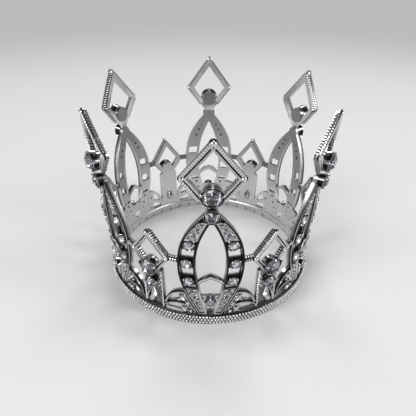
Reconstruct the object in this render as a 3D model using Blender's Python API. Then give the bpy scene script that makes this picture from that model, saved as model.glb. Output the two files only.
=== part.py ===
"""Round openwork crown for a hairstyle, a doll or a cake: six tall spires and six short points, cast in
zinc alloy, plated bright, soldered to a beaded band and set with round rhinestones.

Every casting is drawn flat, in u (along the wall), z (height) and d (out of the wall), carved there, and
then bent round the crown's axis. The front spire faces -Y, +Z is up and the origin is on the axis, at the
level of the surface that the crown stands on. Lengths are in metres.
"""

import math

import bmesh
import bpy
from mathutils import Matrix
from mathutils.geometry import interpolate_bezier

MM = 0.001

# The ring of castings and the wall that they are bent to
SECTORS = 6
WALL_RADIUS = 32.5 * MM  # rail tops at the foot of the wall
FLARE_OUT = 2.835 * MM  # how far the wall leans out at FLARE_Z, growing with the square of the height
FLARE_Z = 50.0 * MM
WALL_THICKNESS = 1.7 * MM  # rail top to the plain back
POCKET_DEPTH = 0.9 * MM  # stone channels, below the rail tops
RAIL_WIDTH = 0.8 * MM
SOLDER_GAP = 0.1 * MM  # between soldered castings

# Band
BAND_PROUD = 1.0 * MM  # how far the band stands out past the wall
BAND_LEDGE = 0.2 * MM  # how far the band reaches in past the wall's back
BAND_HEIGHT = 3.0 * MM
BAND_WIRE = 0.8 * MM  # round-edged wire along the top
BAND_GROOVE = 0.35 * MM  # width and depth of the groove under the wire
BAND_EDGE = 0.25 * MM  # broken edges
BAND_SEGMENTS = 54

# Tall spire: a pointed loop of two arms below, a rhombus above
FOOT_HALF_WIDTH = 3.4 * MM
BELLY_HALF_WIDTH = 9.1 * MM
BELLY_Z = 20.8 * MM
NECK_HALF_WIDTH = 2.0 * MM
NECK_Z = 38.2 * MM
ARM_WIDTH = 5.0 * MM  # an arm at the belly, both rails included
OPENING_TOP_DROP = 2.0 * MM  # from the neck down to the point of the loop's opening
INNER_FOOT_HALF_WIDTH = 0.7 * MM  # inner rails where they meet the band
OGEE_PEAK_Z = 17.9 * MM
OGEE_SPRING_DROP = 2.8 * MM
OGEE_BAR = 1.3 * MM
FOOT_WINDOW_BOTTOM_Z = 10.0 * MM
RHOMBUS_HALF_WIDTH = 8.2 * MM
RHOMBUS_HALF_HEIGHT = 10.5 * MM
RHOMBUS_LAP = 0.5 * MM  # how far the rhombus's lower corner runs below the neck
RHOMBUS_BAR = 2.0 * MM

# Short point: a rhombus on a stem, with a pair of leaves on each side
POINT_TOP_Z = 30.7 * MM
POINT_HALF_WIDTH = 6.2 * MM
POINT_HALF_HEIGHT = 8.4 * MM
POINT_BAR = 1.7 * MM
BRIDGE_HEIGHT = 1.7 * MM  # bar from the rhombus's corner to the spire
STEM_HALF_WIDTH = 3.4 * MM
STEM_SHOULDER_DROP = 5.4 * MM  # from the rhombus's centre to where its edge meets the stem
LEAF_TOP_Z = 11.4 * MM
LEAF_NOTCH_Z = 5.6 * MM
LEAF_RIB_Z = 6.7 * MM  # crest of the rib between the upper and the lower leaf
LEAF_RIB_FOOT_Z = 4.4 * MM
LEAF_MARGIN = 1.2 * MM  # metal between the stem's line and the leaves
LEAF_WINDOW_SHARE = 0.5  # part of a leaf, from the stem out, that is pierced
LEAF_LEDGE = 0.25 * MM  # floor left round a leaf's window
STEM_SLOT_BOTTOM_Z = 5.0 * MM
STEM_SLOT_TOP_Z = 9.9 * MM
STEM_SLOT_HALF_WIDTH = 0.6 * MM

# Round stones (radius, height of the cup's rim above the rail tops) and how they sit
BIG_STONE = (2.4 * MM, 1.5 * MM)
COLLAR_STONE = (1.7 * MM, 1.3 * MM)
POINT_STONE = (2.2 * MM, 1.4 * MM)
STEM_STONE = (1.35 * MM, 0.8 * MM)
FOOT_STONE = (1.25 * MM, 0.8 * MM)
STONE_CLEARANCE = 0.15 * MM
CUP_WALL = 0.25 * MM
CUP_BACK = 0.2 * MM  # how far a cup's back stands out behind the wall
CUP_GAP = 1.0 * MM  # between the two cups on a spire's neck
SEAT_DEPTH = 0.5 * MM  # bottom of a cup, below the rail tops
COLLAR_RISE = 0.2 * MM  # collar stone above the neck
POINT_STONE_DROP = 3.5 * MM  # point stone below its rhombus's centre
STEM_STONE_Z = 12.8 * MM
FOOT_STONE_Z = 9.0 * MM

# Rows of stones in the arms' channels
ROW_PITCH = 6.3 * MM  # between the large stones, with a window after each
ROW_TOP_STONE_Z = 28.1 * MM
ROW_LARGE_STONES = 3
ROW_LARGE_RADIUS = 1.55 * MM
ROW_END_GAP = 0.25 * MM  # between the small stones at the row's ends
ROW_LEAST_RADIUS = 1.1 * MM  # smaller stones are left out of a row
ROW_BACK_SHARE = 0.9  # flat back of a row's stone, as a share of its radius
ROW_LINK_WIDTH = 0.5 * MM
ROW_LINK_HEIGHT = 0.35 * MM
WINDOW_HEIGHT = 2.5 * MM
LAST_WINDOW_HEIGHT = 1.1 * MM  # under the lowest large stone
WINDOW_LEDGE = 0.25 * MM  # floor left on each side of a window
POCKET_TOP_DROP = 2.4 * MM  # from the neck down to the end of the channel
POCKET_FOOT_RISE = 1.0 * MM  # from the band up to the end of the channel

# Facets of a stone, as shares of its radius
TABLE_SHARE = 0.55
CULET_SHARE = 0.6
CROWN_SHARE = 0.42
GIRDLE_HEIGHT = 0.25 * MM

# Curve handles, as shares of the curve's own width and rise
ARM_FOOT_HANDLE = (0.54, 0.37)
ARM_BELLY_BELOW = 0.37
ARM_BELLY_ABOVE = 0.46
ARM_NECK_HANDLE = (0.69, 0.31)
INNER_FOOT_HANDLE = (0.4, 0.33)
INNER_BELLY_BELOW = 0.34
INNER_BELLY_ABOVE = 0.42
INNER_TOP_HANDLE = (0.62, 0.3)
OGEE_SPRING_HANDLE = (0.85, 0.5)
OGEE_PEAK_HANDLE = (0.4, 0.28)
LEAF_NOTCH_HANDLE = (0.12, 0.52)
LEAF_TOP_HANDLE = (0.41, 0.04)
RIB_HANDLE = 0.3
HANDLE_REACH = 4 / 3  # a curve whose two handles are level rises to 3/4 of their height

# Fineness of the meshes
CURVE_POINTS = 5
STONE_SIDES = 8
ROW_STONE_SIDES = 6
CUP_SIDES = 10
BEND_STEP = 6.0 * MM  # widest flat strip of a bent casting
CUTTER_REACH = 2.0 * MM  # cutters run this far past the metal
SMOOTH_DEGREES = 30
FLAT_DEGREES = 0.2  # faces that differ by less are one face
MERGE = 0.001 * MM

PLATED_SILVER = ("plated_silver", (0.80, 0.80, 0.82), 0.12, 1.0)
CRYSTAL = ("crystal", (0.78, 0.79, 0.82), 0.05, 0.35)

FOOT_Z = BAND_HEIGHT + SOLDER_GAP
RHOMBUS_Z = NECK_Z - RHOMBUS_LAP + RHOMBUS_HALF_HEIGHT
POINT_Z = POINT_TOP_Z - POINT_HALF_HEIGHT


# Wall and bending

def wall_radius(z):
    """Radius of the rail tops at a height."""
    return WALL_RADIUS + FLARE_OUT * (z / FLARE_Z) ** 2


def half_sector(z):
    """Length along the wall from the middle of a spire to the middle of its neighbouring short point."""
    return wall_radius(z) * math.pi / SECTORS


def bend(mesh):
    """Bends a flat mesh, in u, z and d, round the crown's axis, with u = 0 at the front."""
    shape = bmesh.new()
    shape.from_mesh(mesh)
    bmesh.ops.dissolve_limit(
        shape, angle_limit=math.radians(FLAT_DEGREES), verts=shape.verts, edges=shape.edges)
    reach = max(abs(vertex.co.x) for vertex in shape.verts)
    pairs = math.ceil(reach / BEND_STEP - 0.5)
    step = reach / (pairs + 0.5)
    for i in range(pairs):
        for u in ((i + 0.5) * step, -(i + 0.5) * step):
            everything = [*shape.verts, *shape.edges, *shape.faces]
            bmesh.ops.bisect_plane(
                shape, geom=everything, dist=MERGE, plane_co=(u, 0.0, 0.0), plane_no=(1.0, 0.0, 0.0))
    bmesh.ops.triangulate(shape, faces=shape.faces)
    for vertex in shape.verts:
        u, z, d = vertex.co
        radius = wall_radius(z)
        angle = u / radius
        vertex.co = ((radius + d) * math.sin(angle), -(radius + d) * math.cos(angle), z)
    shape.to_mesh(mesh)
    shape.free()


# Flat outlines

def curve(start, start_handle, end_handle, end):
    """Points of one cubic curve from start to end, both included."""
    return [tuple(p) for p in interpolate_bezier(start, start_handle, end_handle, end, CURVE_POINTS)]


def mirrored(points):
    """A closed outline from its right half, which runs from the axis back to the axis."""
    left = [(-u, z) for u, z in reversed(points) if abs(u) > MERGE]
    return points + left


def flipped(outline):
    """The mirror image of a closed outline, on the other side of u = 0."""
    return [(-u, z) for u, z in reversed(outline)]


def lowered(edge, drop):
    """An edge moved down the wall."""
    return [(u, z - drop) for u, z in edge]


def u_at(edge, z):
    """Where an edge that runs down or up the wall crosses a height."""
    for (u0, z0), (u1, z1) in zip(edge, edge[1:]):
        if min(z0, z1) <= z <= max(z0, z1) and z0 != z1:
            return u0 + (u1 - u0) * (z - z0) / (z1 - z0)
    return edge[0][0] if abs(edge[0][1] - z) < abs(edge[-1][1] - z) else edge[-1][0]


def between(edge, low, high):
    """The stretch of an edge between two heights, in the edge's own order."""
    inside = [p for p in edge if low + MERGE < p[1] < high - MERGE]
    ends = [(u_at(edge, low), low), (u_at(edge, high), high)]
    if edge[0][1] > edge[-1][1]:
        ends.reverse()
    return [ends[0], *inside, ends[1]]


def arm_outer_edge():
    """Outer edge of a spire's right arm, from the band up to the neck."""
    foot = (FOOT_HALF_WIDTH, FOOT_Z)
    belly = (BELLY_HALF_WIDTH, BELLY_Z)
    neck = (NECK_HALF_WIDTH, NECK_Z)
    lower = BELLY_Z - FOOT_Z
    upper = NECK_Z - BELLY_Z
    spread = BELLY_HALF_WIDTH - FOOT_HALF_WIDTH
    closing = BELLY_HALF_WIDTH - NECK_HALF_WIDTH
    foot_wide, foot_high = ARM_FOOT_HANDLE
    neck_wide, neck_low = ARM_NECK_HANDLE
    rise = curve(
        foot, (FOOT_HALF_WIDTH + foot_wide * spread, FOOT_Z + foot_high * lower),
        (BELLY_HALF_WIDTH, BELLY_Z - ARM_BELLY_BELOW * lower), belly)
    close = curve(
        belly, (BELLY_HALF_WIDTH, BELLY_Z + ARM_BELLY_ABOVE * upper),
        (NECK_HALF_WIDTH + neck_wide * closing, NECK_Z - neck_low * upper), neck)
    return rise + close[1:]


def arm_inner_edge():
    """Inner edge of a spire's right arm, from the band up to the point of the opening."""
    inner_belly = BELLY_HALF_WIDTH - ARM_WIDTH
    top_z = NECK_Z - OPENING_TOP_DROP
    lower = BELLY_Z - FOOT_Z
    upper = top_z - BELLY_Z
    spread = inner_belly - INNER_FOOT_HALF_WIDTH
    foot_wide, foot_high = INNER_FOOT_HANDLE
    top_wide, top_low = INNER_TOP_HANDLE
    rise = curve(
        (INNER_FOOT_HALF_WIDTH, FOOT_Z),
        (INNER_FOOT_HALF_WIDTH + foot_wide * spread, FOOT_Z + foot_high * lower),
        (inner_belly, BELLY_Z - INNER_BELLY_BELOW * lower), (inner_belly, BELLY_Z))
    close = curve(
        (inner_belly, BELLY_Z), (inner_belly, BELLY_Z + INNER_BELLY_ABOVE * upper),
        (top_wide * inner_belly, top_z - top_low * upper), (0.0, top_z))
    return rise + close[1:]


def channel_sides():
    """Outer and inner side of the stone channel in a spire's right arm, each from the foot up."""
    low = FOOT_Z + POCKET_FOOT_RISE
    high = NECK_Z - POCKET_TOP_DROP
    outer = [(u - RAIL_WIDTH, z) for u, z in between(arm_outer_edge(), low, high)]
    inner_edge = arm_inner_edge()
    inner = [(u + RAIL_WIDTH, z) for u, z in between(inner_edge, low, min(high, inner_edge[-1][1]))]
    return outer, inner


def channel_at(z):
    """Middle and width of the stone channel at a height."""
    outer, inner = channel_sides()
    right, left = u_at(outer, z), u_at(inner, z)
    return (right + left) / 2, right - left


def rhombus(centre_z, half_width, half_height, bar, floor_z=None):
    """Right half of a rhombus: its outside if bar is 0, or the hole that its bar leaves, cut off at floor_z."""
    slant = math.hypot(half_width, half_height)
    left = 1 - bar * slant / (half_width * half_height)
    width, height = half_width * left, half_height * left
    if floor_z is None:
        return [(0.0, centre_z + height), (width, centre_z), (0.0, centre_z - height)]
    floor_u = width * (1 - (centre_z - floor_z) / height)
    return [(0.0, centre_z + height), (width, centre_z), (floor_u, floor_z)]


def leaf_end(z):
    """Where a short point's leaves or bridge stop, a solder gap short of the next spire."""
    return half_sector(z) - u_at(arm_outer_edge(), z) - SOLDER_GAP


def leaf_top_edge():
    """Upper edge of a short point's right leaves, from the notch at the stem out to the next spire."""
    notch = (STEM_HALF_WIDTH, LEAF_NOTCH_Z)
    end = (leaf_end(LEAF_TOP_Z), LEAF_TOP_Z)
    reach = end[0] - STEM_HALF_WIDTH
    climb = LEAF_TOP_Z - LEAF_NOTCH_Z
    notch_wide, notch_high = LEAF_NOTCH_HANDLE
    top_wide, top_high = LEAF_TOP_HANDLE
    return curve(
        notch, (STEM_HALF_WIDTH + notch_wide * reach, LEAF_NOTCH_Z + notch_high * climb),
        (STEM_HALF_WIDTH + top_wide * reach, LEAF_TOP_Z + top_high * climb), end)


def leaf_rib():
    """Middle line of the rib between the two right leaves, from the stem out to the next spire."""
    start = (STEM_HALF_WIDTH, LEAF_RIB_FOOT_Z)
    end = (leaf_end(LEAF_RIB_FOOT_Z), LEAF_RIB_FOOT_Z)
    reach = end[0] - start[0]
    crest = LEAF_RIB_FOOT_Z + HANDLE_REACH * (LEAF_RIB_Z - LEAF_RIB_FOOT_Z)
    return curve(
        start, (start[0] + RIB_HANDLE * reach, crest), (end[0] - RIB_HANDLE * reach, crest), end)


def z_over(edge, u):
    """Height of an edge that runs along the wall, at u."""
    for (u0, z0), (u1, z1) in zip(edge, edge[1:]):
        if u0 <= u <= u1:
            return z0 + (z1 - z0) * (u - u0) / (u1 - u0)
    return edge[-1][1]


def along(edge, start, end):
    """The stretch of an edge that runs along the wall, from u = start to u = end."""
    inside = [p for p in edge if start + MERGE < p[0] < end - MERGE]
    return [(start, z_over(edge, start)), *inside, (end, z_over(edge, end))]


def strip_between(upper, lower, start, end):
    """Closed outline between two edges that run along the wall, from u = start to u = end."""
    return along(upper, start, end) + list(reversed(along(lower, start, end)))


# Solids in the flat

def mesh_of(obj):
    """The evaluated mesh of an object, welded and facing out. The object itself is removed."""
    bpy.context.view_layer.update()
    evaluated = obj.evaluated_get(bpy.context.evaluated_depsgraph_get())
    mesh = bpy.data.meshes.new_from_object(evaluated)
    bpy.data.objects.remove(obj)
    shape = bmesh.new()
    shape.from_mesh(mesh)
    bmesh.ops.remove_doubles(shape, verts=shape.verts, dist=MERGE)
    bmesh.ops.recalc_face_normals(shape, faces=shape.faces)
    shape.to_mesh(mesh)
    shape.free()
    return mesh


def scratch(data, name="scratch"):
    """A linked object for data that is still being shaped."""
    obj = bpy.data.objects.new(name, data)
    bpy.context.scene.collection.objects.link(obj)
    return obj


def prism(outlines, bottom, top):
    """Flat mesh of closed outlines raised from d = bottom to d = top. Outlines inside another are holes."""
    drawing = bpy.data.curves.new("drawing", "CURVE")
    drawing.dimensions = "2D"
    drawing.fill_mode = "BOTH"
    drawing.extrude = (top - bottom) / 2
    for outline in outlines:
        spline = drawing.splines.new("POLY")
        spline.points.add(len(outline) - 1)
        for point, (u, z) in zip(spline.points, outline):
            point.co = (u, z, 0.0, 1.0)
        spline.use_cyclic_u = True
    mesh = mesh_of(scratch(drawing))
    mesh.transform(Matrix.Translation((0.0, 0.0, (top + bottom) / 2)))
    return mesh


def round_outline(u, z, radius):
    """Closed round outline about a point."""
    turns = [2 * math.pi * i / CUP_SIDES for i in range(CUP_SIDES)]
    return [(u + radius * math.cos(turn), z + radius * math.sin(turn)) for turn in turns]


def boolean(obj, operation, mesh):
    """Adds one Boolean step to a flat object and returns the object that the step uses."""
    other = scratch(mesh, "operand")
    other.display_type = "WIRE"
    other.hide_render = True
    step = obj.modifiers.new(operation.lower(), "BOOLEAN")
    step.operation = operation
    step.solver = "EXACT"
    step.object = other
    return other


def carved(body, joined, cutters):
    """A flat body with meshes joined to it and then cutters taken out of it, each in turn."""
    obj = scratch(body)
    others = [boolean(obj, "UNION", mesh) for mesh in joined]
    others += [boolean(obj, "DIFFERENCE", mesh) for mesh in cutters]
    mesh = mesh_of(obj)
    for other in others:
        bpy.data.objects.remove(other)
    return mesh


def cup(stone, z):
    """Body and bore of the round cup for a stone on the middle line of a casting."""
    radius, rim = stone
    bore = radius + STONE_CLEARANCE
    body = prism([round_outline(0.0, z, bore + CUP_WALL)], -WALL_THICKNESS - CUP_BACK, rim)
    return body, prism([round_outline(0.0, z, bore)], -SEAT_DEPTH, rim + CUTTER_REACH)


def pocket(outlines):
    """Cutter that sinks outlines from the rail tops to the channels' floor."""
    return prism(outlines, -POCKET_DEPTH, CUTTER_REACH)


def window(outlines):
    """Cutter that pierces outlines right through the wall."""
    return prism(outlines, -WALL_THICKNESS - CUTTER_REACH, CUTTER_REACH)


def add_stone(shape, u, z, rings, sides):
    """Adds one stone to a shape: a disc at the first ring (radius, d), drawn out through the other rings."""
    radius, d = rings[0]
    place = Matrix.Translation((u, z, d))
    start = bmesh.ops.create_circle(shape, segments=sides, radius=radius, matrix=place)
    edges = list({edge for vertex in start["verts"] for edge in vertex.link_edges})
    bmesh.ops.contextual_create(shape, geom=edges)
    about_middle = Matrix.Translation((-u, -z, 0.0))
    for next_radius, next_d in rings[1:]:
        grown = bmesh.ops.extrude_edge_only(shape, edges=edges)["geom"]
        edges = [item for item in grown if isinstance(item, bmesh.types.BMEdge)]
        verts = [item for item in grown if isinstance(item, bmesh.types.BMVert)]
        share = next_radius / radius
        bmesh.ops.scale(shape, vec=(share, share, 1.0), space=about_middle, verts=verts)
        bmesh.ops.translate(shape, vec=(0.0, 0.0, next_d - d), verts=verts)
        radius, d = next_radius, next_d
    bmesh.ops.contextual_create(shape, geom=edges)


def stones_mesh(stones, sides):
    """Flat mesh of stones, each given as its u, its z and its rings."""
    shape = bmesh.new()
    for u, z, rings in stones:
        add_stone(shape, u, z, rings, sides)
    bmesh.ops.recalc_face_normals(shape, faces=shape.faces)
    mesh = bpy.data.meshes.new("stones")
    shape.to_mesh(mesh)
    shape.free()
    return mesh


# Castings and stones, bent

def band_mesh():
    """The band: a turned ring with a wire along its top, a groove and a plain strip for the beading."""
    outer = WALL_RADIUS + BAND_PROUD
    inner = WALL_RADIUS - WALL_THICKNESS - BAND_LEDGE
    wire_bottom = BAND_HEIGHT - BAND_WIRE
    strip_top = wire_bottom - BAND_GROOVE
    profile = [
        (inner, BAND_HEIGHT), (outer - BAND_EDGE, BAND_HEIGHT), (outer, BAND_HEIGHT - BAND_EDGE),
        (outer, wire_bottom + BAND_EDGE), (outer - BAND_GROOVE, wire_bottom),
        (outer - BAND_GROOVE, strip_top), (outer, strip_top - BAND_EDGE),
        (outer, BAND_EDGE), (outer - BAND_EDGE, 0.0), (inner, 0.0)]
    shape = bmesh.new()
    verts = [shape.verts.new((radius, 0.0, z)) for radius, z in profile]
    edges = [shape.edges.new(pair) for pair in zip(verts, verts[1:] + verts[:1])]
    bmesh.ops.spin(
        shape, geom=verts + edges, axis=(0.0, 0.0, 1.0), cent=(0.0, 0.0, 0.0),
        angle=2 * math.pi, steps=BAND_SEGMENTS, use_merge=True)
    bmesh.ops.remove_doubles(shape, verts=shape.verts, dist=MERGE)
    bmesh.ops.recalc_face_normals(shape, faces=shape.faces)
    mesh = bpy.data.meshes.new("base_band")
    shape.to_mesh(mesh)
    shape.free()
    return mesh


def collar_stone_z():
    """Height of the stone on a spire's neck."""
    return NECK_Z + COLLAR_RISE


def big_stone_z():
    """Height of the stone in a spire's rhombus, whose cup stands clear of the one on the neck."""
    cups = BIG_STONE[0] + COLLAR_STONE[0] + 2 * (STONE_CLEARANCE + CUP_WALL)
    return collar_stone_z() + cups + CUP_GAP


def point_stone_z():
    """Height of the stone in a short point's rhombus."""
    return POINT_Z - POINT_STONE_DROP


def row_windows():
    """Height and depth of the windows in an arm's channel, each between or under the large stones."""
    lowest_z = ROW_TOP_STONE_Z - ROW_PITCH * (ROW_LARGE_STONES - 1)
    last_z = lowest_z - ROW_LARGE_RADIUS - ROW_END_GAP - LAST_WINDOW_HEIGHT / 2
    middles = [ROW_TOP_STONE_Z - ROW_PITCH * (i + 0.5) for i in range(ROW_LARGE_STONES - 1)]
    return [(z, WINDOW_HEIGHT) for z in middles] + [(last_z, LAST_WINDOW_HEIGHT)]


def spire_mesh():
    """A tall spire: loop, arms with stone channels, ogee at the foot, rhombus and three cups."""
    outer_edge = arm_outer_edge()
    inner_edge = arm_inner_edge()
    tip, corner, _ = rhombus(RHOMBUS_Z, RHOMBUS_HALF_WIDTH, RHOMBUS_HALF_HEIGHT, 0.0)
    neck_rise = RHOMBUS_HALF_HEIGHT * (1 - NECK_HALF_WIDTH / RHOMBUS_HALF_WIDTH)
    neck_top = (NECK_HALF_WIDTH, RHOMBUS_Z - neck_rise)
    outline = mirrored([tip, corner, neck_top, *reversed(outer_edge)])
    spring_z = OGEE_PEAK_Z - OGEE_SPRING_DROP
    spring_u = u_at(inner_edge, spring_z)
    spring_wide, spring_high = OGEE_SPRING_HANDLE
    peak_wide, peak_low = OGEE_PEAK_HANDLE
    ogee = curve(
        (spring_u, spring_z), (spring_wide * spring_u, spring_z + spring_high * OGEE_SPRING_DROP),
        (peak_wide * spring_u, OGEE_PEAK_Z - peak_low * OGEE_SPRING_DROP), (0.0, OGEE_PEAK_Z))
    loop_side = list(reversed(between(inner_edge, spring_z, inner_edge[-1][1])))
    loop_hole = mirrored(loop_side + ogee[1:])
    foot_top = [(u, z - OGEE_BAR) for u, z in reversed(ogee)]
    foot_hole = mirrored(
        foot_top[:-1] + list(reversed(between(inner_edge, FOOT_WINDOW_BOTTOM_Z, spring_z - OGEE_BAR))))
    rhombus_hole = mirrored(
        rhombus(RHOMBUS_Z, RHOMBUS_HALF_WIDTH, RHOMBUS_HALF_HEIGHT, RHOMBUS_BAR, big_stone_z()))
    body = prism([outline, loop_hole, foot_hole, rhombus_hole], -WALL_THICKNESS, 0.0)
    cups = [
        cup(BIG_STONE, big_stone_z()), cup(COLLAR_STONE, collar_stone_z()), cup(FOOT_STONE, FOOT_STONE_Z)]
    outer, inner = channel_sides()
    channel = outer + list(reversed(inner))
    panes = []
    for z, height in row_windows():
        low, high = z - height / 2, z + height / 2
        right = [(u_at(outer, end) - WINDOW_LEDGE, end) for end in (low, high)]
        left = [(u_at(inner, end) + WINDOW_LEDGE, end) for end in (high, low)]
        panes.append(right + left)
    both_channels = [channel, flipped(channel)]
    both_panes = panes + [flipped(pane) for pane in panes]
    mesh = carved(
        body, [made for made, bore in cups],
        [*[bore for made, bore in cups], pocket(both_channels), window(both_panes)])
    bend(mesh)
    return mesh


def short_point_mesh():
    """A short point: rhombus, bridges to the spires, stem with a slot, two pairs of leaves and two cups."""
    foot_edge = between(arm_outer_edge(), FOOT_Z, LEAF_TOP_Z)
    leaf_ends = [(leaf_end(z), z) for u, z in reversed(foot_edge)]
    bridge_low = POINT_Z - BRIDGE_HEIGHT / 2
    bridge_high = POINT_Z + BRIDGE_HEIGHT / 2
    bridge_u = POINT_HALF_WIDTH * (1 - BRIDGE_HEIGHT / 2 / POINT_HALF_HEIGHT)
    bridge_edge = between(arm_outer_edge(), bridge_low, bridge_high)
    bridge_end = [(leaf_end(z), z) for u, z in reversed(bridge_edge)]
    top_edge = leaf_top_edge()
    outline = mirrored([
        (0.0, POINT_TOP_Z), (bridge_u, bridge_high), *bridge_end, (bridge_u, bridge_low),
        (STEM_HALF_WIDTH, POINT_Z - STEM_SHOULDER_DROP), *top_edge[:-1], *leaf_ends])
    slot_middle = (STEM_SLOT_TOP_Z + STEM_SLOT_BOTTOM_Z) / 2
    slot_bulge = HANDLE_REACH * STEM_SLOT_HALF_WIDTH
    slot = mirrored(curve(
        (0.0, STEM_SLOT_TOP_Z), (slot_bulge, slot_middle), (slot_bulge, slot_middle),
        (0.0, STEM_SLOT_BOTTOM_Z)))
    hole = mirrored(rhombus(POINT_Z, POINT_HALF_WIDTH, POINT_HALF_HEIGHT, POINT_BAR, point_stone_z()))
    body = prism([outline, slot, hole], -WALL_THICKNESS, 0.0)
    cups = [cup(POINT_STONE, point_stone_z()), cup(STEM_STONE, STEM_STONE_Z)]
    rib = leaf_rib()
    crest = top_edge[:-1] + leaf_ends
    start = STEM_HALF_WIDTH + LEAF_MARGIN
    upper_end = leaf_end(LEAF_RIB_Z + RAIL_WIDTH) - RAIL_WIDTH
    lower_end = leaf_end(LEAF_RIB_FOOT_Z) - 2 * RAIL_WIDTH
    floor = [(0.0, FOOT_Z + RAIL_WIDTH), (lower_end + start, FOOT_Z + RAIL_WIDTH)]
    upper = (lowered(crest, RAIL_WIDTH), lowered(rib, -RAIL_WIDTH / 2), start, upper_end)
    lower = (lowered(rib, RAIL_WIDTH / 2), floor, start, lower_end)
    leaves = []
    panes = []
    for roof, bottom, begin, end in (upper, lower):
        leaves.append(strip_between(roof, bottom, begin, end))
        pane_end = begin + LEAF_WINDOW_SHARE * (end - begin)
        panes.append(strip_between(
            lowered(roof, LEAF_LEDGE), lowered(bottom, -LEAF_LEDGE), begin + LEAF_LEDGE, pane_end))
    all_leaves = leaves + [flipped(leaf) for leaf in leaves]
    all_panes = panes + [flipped(pane) for pane in panes]
    mesh = carved(
        body, [made for made, bore in cups],
        [*[bore for made, bore in cups], pocket(all_leaves), window(all_panes)])
    bend(mesh)
    return mesh


def set_stone_mesh(stone, z):
    """A stone in its cup: culet, girdle just over the cup's rim, table."""
    radius, rim = stone
    girdle = rim + STONE_CLEARANCE
    rings = [
        (CULET_SHARE * radius, STONE_CLEARANCE - SEAT_DEPTH), (radius, girdle - GIRDLE_HEIGHT),
        (radius, girdle), (TABLE_SHARE * radius, girdle + CROWN_SHARE * radius)]
    mesh = stones_mesh([(0.0, z, rings)], STONE_SIDES)
    bend(mesh)
    return mesh


def lean_at(z):
    """Cosine of the lean of an arm's channel at a height."""
    step = RAIL_WIDTH / 2
    run = channel_at(z + step)[0] - channel_at(z - step)[0]
    return 2 * step / math.hypot(run, 2 * step)


def row_stones():
    """Height and radius of the stones of one arm: the large ones, then the small ones to each end."""
    stones = [(ROW_TOP_STONE_Z - ROW_PITCH * i, ROW_LARGE_RADIUS) for i in range(ROW_LARGE_STONES)]
    outer, inner = channel_sides()
    last_window_z, last_window_height = row_windows()[-1]
    starts = (
        (ROW_TOP_STONE_Z + ROW_LARGE_RADIUS + ROW_END_GAP, 1, outer[-1][1]),
        (last_window_z - last_window_height / 2, -1, outer[0][1]))
    for z, way, end_z in starts:
        while True:
            radius = lean_at(z) * channel_at(z)[1] / 2 - STONE_CLEARANCE
            z += way * radius
            radius = min(radius, lean_at(z) * channel_at(z)[1] / 2 - STONE_CLEARANCE)
            if radius < ROW_LEAST_RADIUS or way * (end_z - z) < radius + STONE_CLEARANCE:
                break
            stones.append((z, radius))
            z += way * (radius + ROW_END_GAP)
    return stones


def row_mesh(side):
    """The stones of one arm on the thin link that holds them, for side 1 (right) or -1 (left)."""
    outer, inner = channel_sides()
    back = STONE_CLEARANCE - POCKET_DEPTH
    row = row_stones()
    stones = []
    for z, radius in row:
        rings = [(ROW_BACK_SHARE * radius, back), (radius, 0.0), (TABLE_SHARE * radius, CROWN_SHARE * radius)]
        stones.append((channel_at(z)[0], z, rings))
    heights = [z for z, radius in row]
    rail_side = between(outer, min(heights), max(heights))
    near = [(u - STONE_CLEARANCE, z) for u, z in rail_side]
    far = [(u - STONE_CLEARANCE - ROW_LINK_WIDTH, z) for u, z in reversed(rail_side)]
    link = prism([near + far], back + MERGE, back + ROW_LINK_HEIGHT)
    mesh = carved(stones_mesh(stones, ROW_STONE_SIDES), [link], [])
    if side < 0:
        mesh.transform(Matrix.Scale(-1.0, 4, (1.0, 0.0, 0.0)))
        mesh.flip_normals()
    bend(mesh)
    return mesh


# Objects

def material(name, colour, roughness, metallic):
    """A plain material for one kind of piece."""
    made = bpy.data.materials.new(name)
    made.use_nodes = True
    shader = made.node_tree.nodes["Principled BSDF"]
    shader.inputs["Base Color"].default_value = (*colour, 1.0)
    shader.inputs["Roughness"].default_value = roughness
    shader.inputs["Metallic"].default_value = metallic
    return made


def place(name, mesh, turn, finish):
    """A piece of the crown, turned about the axis by a share of the whole circle."""
    obj = scratch(mesh, name)
    obj.rotation_euler = (0.0, 0.0, 2 * math.pi * turn)
    obj.data.materials.clear()
    obj.data.materials.append(finish)
    return obj


def smooth(mesh):
    """Shades a mesh smooth, apart from its real edges."""
    mesh.shade_smooth()
    mesh.set_sharp_from_angle(angle=math.radians(SMOOTH_DEGREES))


def main():
    for obj in list(bpy.data.objects):
        bpy.data.objects.remove(obj)
    silver = material(*PLATED_SILVER)
    crystal = material(*CRYSTAL)
    band = band_mesh()
    spire = spire_mesh()
    point = short_point_mesh()
    for mesh in (band, spire, point):
        smooth(mesh)
    spire_stones = {
        "big_stone": set_stone_mesh(BIG_STONE, big_stone_z()),
        "collar_stone": set_stone_mesh(COLLAR_STONE, collar_stone_z()),
        "foot_stone": set_stone_mesh(FOOT_STONE, FOOT_STONE_Z),
        "right_stone_row": row_mesh(1),
        "left_stone_row": row_mesh(-1)}
    point_stones = {
        "stone": set_stone_mesh(POINT_STONE, point_stone_z()),
        "stem_stone": set_stone_mesh(STEM_STONE, STEM_STONE_Z)}
    place("base_band", band, 0.0, silver)
    for i in range(SECTORS):
        spire_turn = i / SECTORS
        point_turn = (i + 0.5) / SECTORS
        place(f"spire_{i + 1}", spire, spire_turn, silver)
        for name, mesh in spire_stones.items():
            place(f"spire_{i + 1}_{name}", mesh, spire_turn, crystal)
        place(f"short_point_{i + 1}", point, point_turn, silver)
        for name, mesh in point_stones.items():
            place(f"short_point_{i + 1}_{name}", mesh, point_turn, crystal)


main()
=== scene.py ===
"""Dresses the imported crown: plated castings with rails, ridges and cups, cut stones and a beaded band.

Castings are modelled flat, with u along the wall as X, the height z as Y and d out of the wall as Z, and are
then wrapped round the crown's axis. Lengths are in metres, +Z is up and the front spire faces -Y.
"""

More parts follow.
